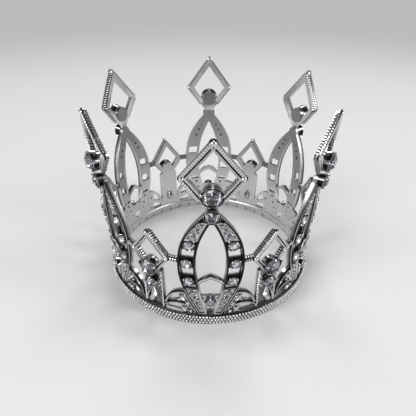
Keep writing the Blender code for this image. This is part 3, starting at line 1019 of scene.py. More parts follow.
@dataclass
class Cup:
    """A round cup with lobes sunk in its outside and painted dark, and claws that hold one stone."""

    radius: float
    rim: float
    clearance: float = 0.15 * MM
    wall: float = 0.25 * MM
    back: float = 1.7 * MM
    plain_back: float = 0.3 * MM
    seat: float = 0.5 * MM
    bore_share: float = 0.8
    seat_share: float = 0.7
    stone_lift: float = 0.8
    waist: float = 0.86
    sides: int = 30
    rounding: float = 0.12 * MM
    outside_shade: float = 0.55
    claws: int = 4
    claw_sides: int = 8
    claw_turn: float = 0.0
    claw_radius: float = 0.36 * MM
    claw_reach: float = 0.42 * MM
    claw_rise: float = 0.62 * MM
    claw_root: float = 0.4
    claw_sink: float = 0.3
    claw_bend: tuple[Triple, ...] = (  # reach, rise and taper
        (0.1, 0.4, 1.0), (0.5, 0.5, 0.85), (0.4, 0.12, 0.6))
    lobe_share: float = 0.75
    lobe_frame: float = 0.18 * MM
    lobe_depth: float = 0.12 * MM
    lobe_slope: float = 0.5
    lobe_skin: float = 0.9

    def outer_radius(self) -> float:
        """Radius of the cup's outside."""
        return self.radius + self.clearance + self.wall

    def outside_at(self, d: float) -> float:
        """Radius of the outside at a depth."""
        share = min(1.0, max(0.0, (d + self.seat) / (self.rim + self.seat)))
        return self.outer_radius() * (self.waist + (1.0 - self.waist) * share)

    def build(self, z: float, u: float = 0.0) -> Piece:
        """The cup, drawn from a cylinder: a waist flared out to the rim, a bore and lobes in its outside.

        Args:
            z: its height.
            u: its place along the wall.

        Returns:
            The cup.
        """
        obj = start_from(
            bpy.ops.mesh.primitive_cylinder_add, vertices=self.sides, radius=self.waist * self.outer_radius(),
            depth=self.back - self.seat, location=(0.0, 0.0, -(self.back + self.seat) / 2))
        with editing(obj):
            select(obj, Part.FACE, lambda face: face.normal.z > FACING)
            extrude((0.0, 0.0, self.rim + self.seat))
            resize((1 / self.waist, 1 / self.waist, 1.0))
            bpy.ops.mesh.inset(thickness=self.wall)
            extrude((0.0, 0.0, -self.rim - self.bore_share * self.seat))
            resize((self.seat_share, self.seat_share, 1.0))
            select(obj, Part.EDGE, lambda edge: at_depth(edge, self.rim) and edge.calc_face_angle(0) > SHARP)
            bpy.ops.mesh.bevel(offset=self.rounding, segments=2, affect="EDGES", clamp_overlap=True)
            if self.lobe_share > 0:
                select(obj, Part.FACE, self._in_lobe)
                bpy.ops.mesh.inset(thickness=self.lobe_frame, depth=-self.lobe_depth)
        # painted shade: dark inside the cup and in its lobes, lighter outside
        mark(obj, self._shade_at)
        obj.data.transform(Matrix.Translation((u, z, 0.0)))
        return obj

    def _in_lobe(self, face: bmesh.types.BMFace) -> bool:
        """Finds the faces for the lobes.

        Args:
            face: a face of the cup.

        Returns:
            True for a face of the flared outside that lies between two claws.
        """
        middle = face.calc_center_median()
        steep = abs(face.normal.z) <= self.lobe_slope
        outside = middle.xy.length >= self.lobe_skin * self.outside_at(middle.z)
        flared = -self.seat <= middle.z <= self.rim - self.rounding
        sector = FULL_TURN / self.claws
        turn = (math.atan2(middle.y, middle.x) - self.claw_turn) % sector
        return steep and outside and flared and abs(turn - sector / 2) < self.lobe_share * sector / 2

    def _shade_at(self, place: Vector) -> float:
        """How much painted shade the cup has.

        Args:
            place: a point of the cup.

        Returns:
            Painted shade: 1 inside and in the lobes, a middle tone outside and 0 on the back.
        """
        low = self.plain_back - self.back
        sunk = place.xy.length < self.outside_at(place.z) - 0.5 * self.lobe_depth
        if sunk and low < place.z < self.rim - TINY:
            return 1.0
        return self.outside_shade * (place.z > low)

    def build_claws(self, z: float, u: float = 0.0) -> Piece:
        """The claws, one drawn up the wall from a cylinder and bent over the stone, then spun into a set.

        Args:
            z: height of the cup.
            u: its place along the wall.

        Returns:
            The claws.
        """
        waist = self.waist * self.outer_radius()
        obj = start_from(
            bpy.ops.mesh.primitive_cylinder_add, vertices=self.claw_sides, radius=self.claw_radius,
            depth=self.claw_root * self.seat, location=(waist, 0.0, -(1 - self.claw_root / 2) * self.seat))
        with editing(obj):
            select(obj, Part.FACE, lambda face: face.normal.z > FACING)
            lean = self.outer_radius() - self.claw_sink * self.wall - waist
            extrude((lean, 0.0, self.rim + (1 - self.claw_root) * self.seat))
            for reach, rise, taper in self.claw_bend:
                extrude((-reach * self.claw_reach, 0.0, rise * self.claw_rise))
                bpy.ops.transform.resize(value=(taper, taper, 1.0))
            select_all()
            spin_set(self.claws)
            face_outwards()
        obj.data.transform(Matrix.Translation((u, z, 0.0)) @ Matrix.Rotation(self.claw_turn, 4, "Z"))
        return obj


@dataclass
class Setting:
    """A cup with its stone on the middle line of a casting."""

    piece: str
    node: str
    z: float
    cup: Cup
    small: bool = False

    def build_stone(self, box: StoneBox) -> Piece:
        """The stone, seated just over the cup's rim."""
        d = self.cup.rim + self.cup.stone_lift * self.cup.clearance
        return set_stone(box.small if self.small else box.large, (0.0, self.z, d), self.cup.radius)


def bead(place: Triple, radius: float, stretch: float = 1.0) -> Piece:
    """A small raised grain of metal.

    Args:
        place: its middle.
        radius: its radius.
        stretch: how much longer it is along the wall than up it.

    Returns:
        The grain.
    """
    obj = start_from(bpy.ops.mesh.primitive_uv_sphere_add, radius=radius, location=place, **GRAIN_FACETS)
    with editing(obj):
        select(obj, Part.VERT, lambda vert: vert.co.z < place[2] - GRAIN_WAIST * radius)
        resize((GRAIN_SPREAD, GRAIN_SPREAD, 1.0), place)
        move((0.0, 0.0, -GRAIN_SINK * radius))
        select_all()
        resize((stretch, 1.0, 1.0), place)
    return obj


@dataclass
class Rhombus:
    """A rhombus of ridged bars on a flat frame, open down to the cup in its lower corner.

    Rails, ropes, caps and blocks that aren't sized in MM are sized in widths of the bar.
    """

    back: float
    z: float
    half: Point
    bar: float
    cup_z: float
    front: float = 0.3 * MM
    frame_depth: float = 0.3 * MM
    trim: float = 0.92
    low_share: float = 0.62
    core_back: float = 0.1 * MM
    core_step: float = 0.25 * MM
    rail_depth: float = 0.6 * MM
    rail_half: float = 0.23
    rail_offset: float = 0.22
    rope_step: float = 0.08 * MM
    rope_half: float = 0.17
    rope_offset: float = -0.3
    cap_inset: float = 0.62
    cap_radius: float = 0.36
    cap_step: float = 0.25 * MM
    caps: tuple[Triple, ...] = ((1, 0, 1.0), (0, 1, 1.25), (-1, 0, 1.0))  # across, up, stretch
    block_radius: float = 0.52
    block_sides: int = 16
    block_back: float = 0.9 * MM
    block_step: float = 0.2 * MM
    block_round: float = 0.25 * MM
    block_shade_reach: float = 0.3 * MM
    block_shade: float = 0.95

    def at(self, across: float, up: float, share: float) -> Point:
        """A point of the rhombus, shrunk to a share of its size."""
        return across * share * self.half[0], self.z + up * share * self.half[1]

    def opening(self) -> float:
        """Size of the opening, as a share of the rhombus."""
        wide, high = self.half
        return 1 - self.bar * math.hypot(wide, high) / (wide * high)

    def build_frame(self) -> Piece:
        """The flat frame behind the bars.

        Returns:
            The frame.
        """
        corners = ((1, 0), (0, 1), (-1, 0), (0, -1))
        flat = plate(
            [self.at(*corner, self.trim) for corner in corners], -self.back, self.frame_depth - self.back)
        share = self.opening()
        sill = share * self.half[0] * (1 - (self.z - self.cup_z) / (share * self.half[1]))
        hole = [self.at(*corner, share) for corner in corners[:3]]
        cut(flat, plate([*hole, (-sill, self.cup_z), (sill, self.cup_z)], -2 * self.back, self.back))
        return flat

    def build_bars(self) -> Piece:
        """The ridged bars, with a block and a cap on each free corner.

        Returns:
            The bars.
        """
        middle, low = (1 + self.opening()) / 2, self.low_share
        bars = []
        for side in (1, -1):
            bars += self.build_bar([self.at(side, 0, middle), self.at(0, 1, middle)], side)
        for side in (1, -1):
            bars += self.build_bar([self.at(side, 0, middle), self.at(side * (1 - low), -low, middle)], -side)
        reach = self.cap_inset * self.bar
        for across, up, stretch in self.caps:
            place = (across * (self.half[0] - reach), self.z + up * (self.half[1] - reach))
            cap = bead((*place, self.front - self.cap_step), self.cap_radius * self.bar, stretch)
            bars += [self.build_block(place), cap]
        return joined("ridged_bars", bars)

    def build_bar(self, line: Sequence[Point], out: int) -> list[Piece]:
        """One bar: a ridged core painted dark, a bright rail on its outer side and a fine rope on its inner
        side.

        Args:
            line: the bar's two ends.
            out: 1 where the outer side is to the right of the line, -1 where it is to the left.

        Returns:
            The three bars.
        """
        low = self.front - self.rail_depth
        # painted shade: the core's front is painted dark, and the grooves of all three bars darker
        core = RidgedBar(
            self.bar / 2, self.core_back - self.back, self.front - self.core_step, groove=0.14 * MM,
            crest=0.8, side_shade=0.2, face=0.9)
        rail = RidgedBar(
            self.rail_half * self.bar, low, self.front, pitch=0.7 * MM, groove=0.05 * MM, shoulder=0.25,
            crest=0.8, groove_shade=0.65)
        rope = RidgedBar(
            self.rope_half * self.bar, low, self.front - self.rope_step, pitch=0.45 * MM, groove=0.06 * MM,
            crest=0.7, groove_shade=0.6)
        bars = ((core, 0.0), (rail, self.rail_offset), (rope, self.rope_offset))
        return [bar.build(*beside(line, offset * out * self.bar)) for bar, offset in bars]

    def build_block(self, middle: Point) -> Piece:
        """The round block where two bars meet.

        Args:
            middle: its middle, in u and z.

        Returns:
            The block.
        """
        top = self.front - self.block_step
        ring = ring_of(middle, self.block_radius * self.bar, self.block_sides)
        block = plate(ring, self.front - self.block_back, top)
        round_front(block, self.block_round)
        # painted shade over the rounded front of the block
        mark(block, lambda place: self.block_shade * (place.z > top - self.block_shade_reach))
        return block


# Sub-assemblies


def hand_over(piece: Piece, slot: Slot) -> None:
    """Lets a piece ride on the crown."""
    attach(piece, "root")


@dataclass
class Band:
    """The round base band: a ring with a pierced wall and rows of beads round its outside."""

    outer: float = 33.5 * MM
    inner: float = 30.6 * MM
    shelf: float = 32.45 * MM
    height: float = 3.0 * MM
    chamfer: float = 0.4 * MM
    lip: float = 0.2 * MM
    seat: float = 0.6 * MM
    foot_share: float = 0.5
    foot_slope: float = 0.1 * MM
    edge: float = 0.2 * MM
    edge_shade: float = 0.8
    steps: int = 144
    beads: int = 216
    bead_share: float = 0.45
    bead_shade_start: float = 0.3
    bead_shade_fade: float = 0.5
    rows: int = 3
    slots: int = 48
    slot_sides: int = 10
    slot_width: float = 0.6 * MM
    slot_height: float = 1.1 * MM
    slot_lift: float = 0.1 * MM

    def profile(self) -> list[Point]:
        """The band's section.

        Returns:
            Its corners, as radius and height, against the clock.
        """
        wall = self.outer - self.seat
        foot = wall + self.foot_share * self.seat
        inside = self.inner + self.edge
        return [
            (inside, 0.0), (foot, 0.0), (foot, self.edge), (wall, self.edge + self.foot_slope),
            (wall, self.height - self.chamfer), (self.shelf, self.height), (inside, self.height),
            (self.inner, self.height - self.edge), (self.inner, self.edge)]

    def build_ring(self) -> Piece:
        """The turned ring, spun from its section and pierced.

        Returns:
            The ring.
        """
        obj = drawn([(radius, 0.0, z) for radius, z in self.profile()])
        with editing(obj):
            select_all()
            bpy.ops.mesh.spin(steps=self.steps, angle=FULL_TURN, center=ORIGIN, axis=UPRIGHT)
            tidy_normals()
        cut(obj, self._slot_cutters())
        # painted shade behind the beads and along the outer edge of the top
        mark(obj, self._shade_at)
        mark(obj, self._satin, SATIN)
        only(obj)
        bpy.ops.object.shade_smooth_by_angle(angle=SMOOTH)
        obj.name = "band_ring"
        return obj

    def _shade_at(self, place: Vector) -> float:
        """How much painted shade the ring has.

        Args:
            place: a point of the ring.

        Returns:
            Painted shade: 1 behind the beads, less along the outer edge of the top, and 0 elsewhere.
        """
        if place.z <= self.lip or place.xy.length < self.shelf - TINY:
            return 0.0
        return 1.0 if place.xy.length > self.shelf + TINY else self.edge_shade

    def _satin(self, place: Vector) -> float:
        """Whether a place lies on the ring's plain inside or top."""
        return float(place.xy.length < self.inner + self.edge + TINY or place.z > self.height - TINY)

    def _slot_cutters(self) -> Piece:
        """Upright oval cutters through the band, spun round the axis.

        Returns:
            The cutters, as one shape.
        """
        middle_z = self.lip + self.edge + self.slot_lift + self.slot_height / 2
        obj = start_from(
            bpy.ops.mesh.primitive_cylinder_add, vertices=self.slot_sides, radius=self.slot_width / 2,
            depth=2 * (self.outer - self.inner), location=(self.inner, 0.0, middle_z),
            rotation=(0.0, math.pi / 2, 0.0))
        with editing(obj):
            select_all()
            resize((1.0, 1.0, self.slot_height / self.slot_width), (0.0, 0.0, middle_z))
            spin_set(self.slots)
        return obj

    def build_beads(self) -> Piece:
        """The rows of beads, one bead shaped from a sphere, then spun round the axis and stacked.

        Returns:
            The beads, as one piece.
        """
        radius = (self.height - self.lip) / (2 * self.rows)
        wall = self.outer - self.seat
        middle = (wall, 0.0, 0.0)
        obj = start_from(
            bpy.ops.mesh.primitive_uv_sphere_add, radius=radius, location=middle,
            rotation=(0.0, math.pi / 2, 0.0), **GRAIN_FACETS)
        half_width = self.bead_share * FULL_TURN * self.outer / self.beads
        with editing(obj):
            select_all()
            resize(((self.seat - TINY) / radius, half_width / radius, 1.0), middle)
            spin_set(self.beads)
            face_outwards()
        # painted shade: each bead darkens towards the wall, where it meets its neighbours
        bright = wall + self.bead_shade_start * self.seat
        mark(obj, lambda place: (bright - place.xy.length) / (self.bead_shade_fade * self.seat))
        rows = []
        for row in range(self.rows):
            turn = Matrix.Rotation(FULL_TURN * row / (2 * self.beads), 4, "Z")
            rise = Matrix.Translation((0.0, 0.0, self.lip + (2 * row + 1) * radius))
            rows.append(duplicate(obj, rise @ turn))
        bpy.data.objects.remove(obj)
        beads = joined("band_beads", rows)
        only(beads)
        bpy.ops.object.shade_smooth()
        return beads

    def dress(self, finishes: Finishes) -> list[Piece]:
        """Builds the band, gives it its finish and lets it stand for its node.

        Args:
            finishes: the crown's materials.

        Returns:
            The band's pieces.
        """
        ring, beads = self.build_ring(), self.build_beads()
        for piece in (ring, beads):
            piece.data.materials.append(finishes.silver)
            hand_over(piece, Slot.SILVER)
        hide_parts("base_band")
        return [ring, beads]


@dataclass
class Casting:
    """One kind of casting with its stones, which stands once in each sector of the crown."""

    kind: ClassVar[str]
    start: ClassVar[float]
    row_nodes: ClassVar[dict[str, str]]
    settings: ClassVar[tuple[Setting, ...]]

    wall: Wall

    def build_half(self) -> Piece:
        """The right half, which is mirrored."""
        raise NotImplementedError

    def build_middle(self) -> list[Piece]:
        """The forms on the middle line, apart from the rhombus and the cups."""
        raise NotImplementedError

    def build_small_stones(self, box: StoneBox) -> tuple[dict[str, Piece], Piece]:
        """The small stones of both halves, by their pieces' names, and what holds the right ones."""
        raise NotImplementedError

    def rhombus(self) -> Rhombus:
        """The rhombus at the top."""
        raise NotImplementedError

    def build(self, box: StoneBox) -> tuple[dict[str, Piece], dict[str, Piece]]:
        """Builds one casting with its stones, flat.

        Args:
            box: the stones to copy.

        Returns:
            The models in metal and the models in stone, by their pieces' names.
        """
        half = self.build_half()
        stones, holders = self.build_small_stones(box)
        rhombus = self.rhombus()
        cups = [setting.cup.build(setting.z) for setting in self.settings]
        claws = [setting.cup.build_claws(setting.z) for setting in self.settings]
        metal = {
            "casting": joined("casting", [
                half, mirrored(half), *self.build_middle(), rhombus.build_frame(), *cups]),
            "ridged_bars": rhombus.build_bars(),
            "settings": joined("settings", [holders, mirrored(holders), *claws])}
        return metal, {setting.piece: setting.build_stone(box) for setting in self.settings} | stones

    def dress(self, finishes: Finishes, box: StoneBox) -> list[Piece]:
        """Wraps the models, copies them round the crown and lets the copies stand for their nodes.

        Args:
            finishes: the crown's materials.
            box: the stones to copy.

        Returns:
            The pieces of all castings of this kind.
        """
        metal, stones = self.build(box)
        for model in metal.values():
            self.wall.wrap(model)
            model.data.materials.append(finishes.silver)
        for model in stones.values():
            self.wall.wrap(model, faceted=True)
        kind = self.kind
        stands_for = {"casting": "", **self.row_nodes, **{one.piece: one.node for one in self.settings}}
        pieces = []
        for number in range(1, self.wall.sectors + 1):
            turn = Matrix.Rotation(FULL_TURN * (number - 1 + self.start) / self.wall.sectors, 4, "Z")
            for name, model in (metal | stones).items():
                piece = duplicate(model, turn)
                piece.name = f"{kind}_{number}_{name}"
                hand_over(piece, Slot.CRYSTAL if name in stones else Slot.SILVER)
                if name in stands_for:
                    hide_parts(f"{kind}_{number}{stands_for[name]}")
                pieces.append(piece)
        for model in (metal | stones).values():
            bpy.data.objects.remove(model)
        return pieces


@dataclass
class RowStone:
    """One stone in an arm's channel."""

    z: float
    radius: float
    in_cup: bool = False


@dataclass
class Spire(Casting):
    """A tall spire: a pointed loop of two arms with stone channels, and a ridged rhombus above."""

    kind: ClassVar[str] = "spire"
    start: ClassVar[float] = 0.0
    row_nodes: ClassVar[dict[str, str]] = {
        "right_brilliants": "_right_stone_row", "left_brilliants": "_left_stone_row"}

    foot_half: float = 3.4 * MM
    belly_half: float = 9.1 * MM
    belly_z: float = 20.8 * MM
    neck_half: float = 2.0 * MM
    neck_z: float = 38.2 * MM
    outer_handles: tuple[Point, ...] = ((0.54, 0.37), (1.0, 0.63), (0.0, 0.46), (0.31, 0.69))
    arm_width: float = 5.0 * MM
    opening_drop: float = 2.0 * MM
    inner_foot_half: float = 0.7 * MM
    inner_handles: tuple[Point, ...] = ((0.4, 0.33), (1.0, 0.66), (0.0, 0.42), (0.38, 0.7))
    lean_step: float = 0.4 * MM
    rail_round: float = 0.3 * MM
    lap: float = 0.4
    # painted highlight lines along the rails' edges, and the tones of the arm's painted shade, highlights and
    # dark reflection
    glint: float = 0.1 * MM
    glint_step: float = 0.02 * MM
    inner_glint: float = 0.03 * MM
    bright_tone: float = 0.05
    dark_tone: float = 0.95
    line_tone: float = 0.9
    windows: tuple[Point, ...] = (  # middle and height
        (24.95 * MM, 2.6 * MM), (18.65 * MM, 2.6 * MM), (13.2 * MM, 1.1 * MM))
    window_ledge: float = 0.15 * MM
    pave: tuple[Point, ...] = ((29.7 * MM, 35.8 * MM), (4.0 * MM, 12.6 * MM))  # lower and upper end
    pave_steps: int = 10
    pave_lap: float = 0.1 * MM
    pave_top: float = -0.28 * MM
    pave_shade: float = 0.4
    ogee_peak_z: float = 17.9 * MM
    ogee_drop: float = 2.8 * MM
    ogee_handles: tuple[Point, ...] = ((0.85, 0.5), (0.4, 0.72))
    ogee_bar: float = 1.25 * MM
    ogee_top: float = -0.05 * MM
    ogee_round: float = 0.42
    ogee_shadow: float = 0.35
    ogee_shade_line: float = 0.1
    foot_plate_top_z: float = 10.0 * MM
    foot_shade: float = 0.15
    foot_window: Point = (4.3 * MM, 6.7 * MM)
    foot_window_rim: float = 0.25 * MM
    foot_grains: tuple[Triple, ...] = (  # u, z and radius
        (1.75 * MM, 9.9 * MM, 0.4 * MM), (1.9 * MM, 8.9 * MM, 0.25 * MM))
    foot_grain_d: float = -0.6 * MM
    rhombus_half: Point = (8.2 * MM, 10.5 * MM)
    rhombus_z: float = 48.2 * MM
    rhombus_bar: float = 2.0 * MM
    rhombus_back: float = 1.3 * MM
    settings: ClassVar[tuple[Setting, ...]] = (
        Setting("big_brilliant", "_big_stone", 44.3 * MM, Cup(
            2.4 * MM, 1.5 * MM, claws=5, claw_turn=math.pi / 2, claw_radius=0.27 * MM, claw_reach=0.32 * MM)),
        Setting("collar_brilliant", "_collar_stone", 38.4 * MM, Cup(
            1.7 * MM, 1.3 * MM, claw_turn=math.pi / 4, claw_radius=0.24 * MM, claw_reach=0.3 * MM)),
        Setting("foot_brilliant", "_foot_stone", 9.0 * MM, Cup(
            1.25 * MM, 0.8 * MM, waist=0.75, claw_turn=math.pi / 2, claw_radius=0.25 * MM), small=True))
    row: tuple[RowStone, ...] = (
        RowStone(28.1 * MM, 1.4 * MM, True), RowStone(21.8 * MM, 1.4 * MM, True),
        RowStone(15.5 * MM, 1.4 * MM, True), RowStone(30.95 * MM, 1.12 * MM), RowStone(33.0 * MM, 0.95 * MM),
        RowStone(34.75 * MM, 0.72 * MM), RowStone(11.4 * MM, 1.12 * MM), RowStone(8.95 * MM, 0.93 * MM),
        RowStone(6.9 * MM, 0.74 * MM), RowStone(5.25 * MM, 0.56 * MM))
    cup_stone_d: float = 0.1 * MM
    pave_stone_d: float = -0.15 * MM
    grips: tuple[Point, ...] = ((-0.72, -0.78), (-0.72, 0.78), (0.72, -0.78), (0.72, 0.78))
    grip_radius: float = 0.3
    grip_d: float = -0.02 * MM

    def outer_edge(self) -> list[Point]:
        """Outer edge of the right arm, from the band up to the neck."""
        foot, top = (self.foot_half, self.wall.foot_z), (self.neck_half, self.neck_z)
        return loop_edge(foot, (self.belly_half, self.belly_z), top, self.outer_handles)

    def inner_edge(self) -> list[Point]:
        """Inner edge of the right arm, from the band up to the point of the opening."""
        foot, top = (self.inner_foot_half, self.wall.foot_z), (0.0, self.neck_z - self.opening_drop)
        return loop_edge(foot, (self.belly_half - self.arm_width, self.belly_z), top, self.inner_handles)

    def channel_at(self, z: float) -> float:
        """Middle of the right arm's channel at a height."""
        return (u_at(self.outer_edge(), z) + u_at(self.inner_edge(), z)) / 2

    def lean_at(self, z: float) -> float:
        """Lean of the right arm's channel from upright at a height, as an angle."""
        run = self.channel_at(z + self.lean_step) - self.channel_at(z - self.lean_step)
        return math.atan2(run, 2 * self.lean_step)

    def between_edges(self, heights: Sequence[float], inset: float) -> list[Point]:
        """Outline over a run of heights, inset from the right arm's two edges."""
        right = [(u_at(self.outer_edge(), z) - inset, z) for z in heights]
        return right + [(u_at(self.inner_edge(), z) + inset, z) for z in reversed(heights)]

    def build_half(self) -> Piece:
        """The right arm: a plate with a channel sunk between two rails, windows, and ends with less painted
        shade.

        Returns:
            The arm.
        """
        outer, inner = self.outer_edge(), self.inner_edge()
        arm = plate([*outer, (0.0, self.neck_z), *reversed(inner)], -self.wall.thickness, 0.0)
        sink_channel(arm, self.wall.rail, self.wall.pocket, self.rail_round)
        inset = self.wall.rail + self.window_ledge
        windows = [self.between_edges((z - high / 2, z + high / 2), inset) for z, high in self.windows]
        cut(arm, *[self.wall.through(window) for window in windows], *self.holes())
        # painted shade, painted dark reflection and painted highlight lines
        mark(arm, lambda place: self.arm_painted_light(place, outer, inner))
        return joined("arm", [arm, *[self.build_pave(low, high) for low, high in self.pave]])

    def arm_painted_light(self, place: Vector, outer: Sequence[Point], inner: Sequence[Point]) -> float:
        """Painted shade, painted dark reflection and painted highlights at a point of the right arm.

        Args:
            place: the point, as u, z and d.
            outer: the arm's outer edge.
            inner: its inner edge.

        Returns:
            1 on the floor, as painted shade, and high up nearly 1 on the rails, as a painted dark reflection,
            but for a painted highlight along their edges. Near the foot the rails are bright, with a painted
            dark line.
        """
        if place.z < -0.5 * self.wall.pocket:
            return self.wall.floor_shade(place, 1.0)
        outside = apart(outer, place)
        edge = min(outside, apart(inner, place))
        bright = self.glint_step < edge < self.glint or edge > self.wall.rail - self.inner_glint
        high = self.bright_tone if bright else self.dark_tone
        low = self.line_tone if abs(outside - self.wall.rail) < 2 * self.glint else self.bright_tone
        tone = self.wall.dark_reflection_at(place.y)
        return tone * high + (1.0 - tone) * low

    def holes(self) -> list[Piece]:
        """Cutters for the small holes behind the smaller stones."""
        small = [stone for stone in self.row if not stone.in_cup]
        return [self.wall.hole((self.channel_at(stone.z), stone.z), stone.radius) for stone in small]

    def build_pave(self, low: float, high: float) -> Piece:
        """A plate under the small stones at one end of the right channel, with less painted shade than its
        floor.

        Args:
            low: height of its lower end.
            high: height of its upper end.

        Returns:
            The plate.
        """
        outline = self.between_edges(spaced(low, high, self.pave_steps), self.wall.rail - self.pave_lap)
        pave = plate(outline, -self.wall.pocket - self.pave_lap, self.pave_top)
        cut(pave, *self.holes())
        # a lighter painted shade than on the channel's floor
        mark(pave, lambda place: self.pave_shade)
        return pave

    def build_middle(self) -> list[Piece]:
        """The ogee bar and the plate at the foot."""
        return [self.build_ogee(), self.build_foot_plate()]

    def build_ogee(self) -> Piece:
        """The pointed bar across the loop's foot.

        Returns:
            The bar.
        """
        spring_z = self.ogee_peak_z - self.ogee_drop
        spring_u = u_at(self.inner_edge(), spring_z)
        handles = [(u * spring_u, spring_z + z * self.ogee_drop) for u, z in self.ogee_handles]
        top = both_sides(curve(
            (spring_u + self.lap * self.wall.rail, spring_z), *handles, (0.0, self.ogee_peak_z)))
        low = [(u, z - self.ogee_bar) for u, z in top]
        bar = plate([*top, *reversed(low)], -self.wall.thickness, self.ogee_top)
        round_front(bar, self.ogee_round * self.ogee_bar)
        # painted shadow under the bar, and a painted dark line along its top edge
        shadow, line = self.ogee_shadow * self.ogee_bar, self.ogee_shade_line * self.ogee_bar
        mark(bar, lambda place: float(
            place.z > -self.wall.pocket and (apart(low, place) < shadow or apart(top, place) < line)))
        return bar

    def build_foot_plate(self) -> Piece:
        """The sunk plate between the inner rails at the foot, with a small window and a few grains.

        Returns:
            The plate.
        """
        edge, top_z = self.inner_edge(), self.foot_plate_top_z
        side = [*[point for point in edge if point[1] < top_z], (u_at(edge, top_z), top_z)]
        outline = both_sides([(u + self.lap * self.wall.rail, z) for u, z in side])
        foot = plate(outline, self.wall.back(), -self.wall.pocket)
        window = [(u_at(edge, z) - self.foot_window_rim, z) for z in self.foot_window]
        cut(foot, self.wall.through(both_sides(window)))
        # a light painted shade over the whole plate
        mark(foot, lambda place: self.foot_shade)
        grains = [
            bead((side * u, z, self.foot_grain_d), radius)
            for u, z, radius in self.foot_grains for side in (1, -1)]
        return joined("foot", [foot, *grains])

    def rhombus(self) -> Rhombus:
        """The rhombus at the top, with the first setting in its lower corner."""
        return Rhombus(
            self.rhombus_back, self.rhombus_z, self.rhombus_half, self.rhombus_bar, self.settings[0].z)

    def row_cup(self, stone: RowStone) -> Cup:
        """The low cup of a larger stone in the right channel."""
        return Cup(
            stone.radius, 0.0, clearance=0.02 * MM, wall=0.16 * MM, back=1.0 * MM, seat=0.7 * MM, sides=20,
            claw_turn=math.pi / 4 - self.lean_at(stone.z), claw_radius=0.22 * MM, claw_reach=0.26 * MM,
            claw_rise=0.45 * MM, rounding=0.08 * MM, lobe_share=0.0)

    def build_small_stones(self, box: StoneBox) -> tuple[dict[str, Piece], Piece]:
        """The stones of both arms, and the metal that holds those of the right arm.

        Args:
            box: the stones to copy.

        Returns:
            A row of stones for each arm, and the cups, claws and grains as one shape.
        """
        stones, metal = [], []
        for stone in self.row:
            u, z = self.channel_at(stone.z), stone.z
            d = self.cup_stone_d if stone.in_cup else self.pave_stone_d
            stones.append(set_stone(box.small, (u, z, d), stone.radius, z / MM))
            if stone.in_cup:
                cup = self.row_cup(stone)
                metal += [cup.build(z, u), cup.build_claws(z, u)]
                continue
            turn = Matrix.Rotation(-self.lean_at(z), 2)
            for grip in self.grips:
                side, rise = stone.radius * (turn @ Vector(grip))
                metal.append(bead((u + side, z + rise, self.grip_d), self.grip_radius * stone.radius))
        row = joined("row", stones)
        return {"right_brilliants": row, "left_brilliants": mirrored(row)}, joined("holders", metal)


@dataclass
class LeafStone:
    """One small stone in a leaf."""

    u: float
    z: float
    radius: float


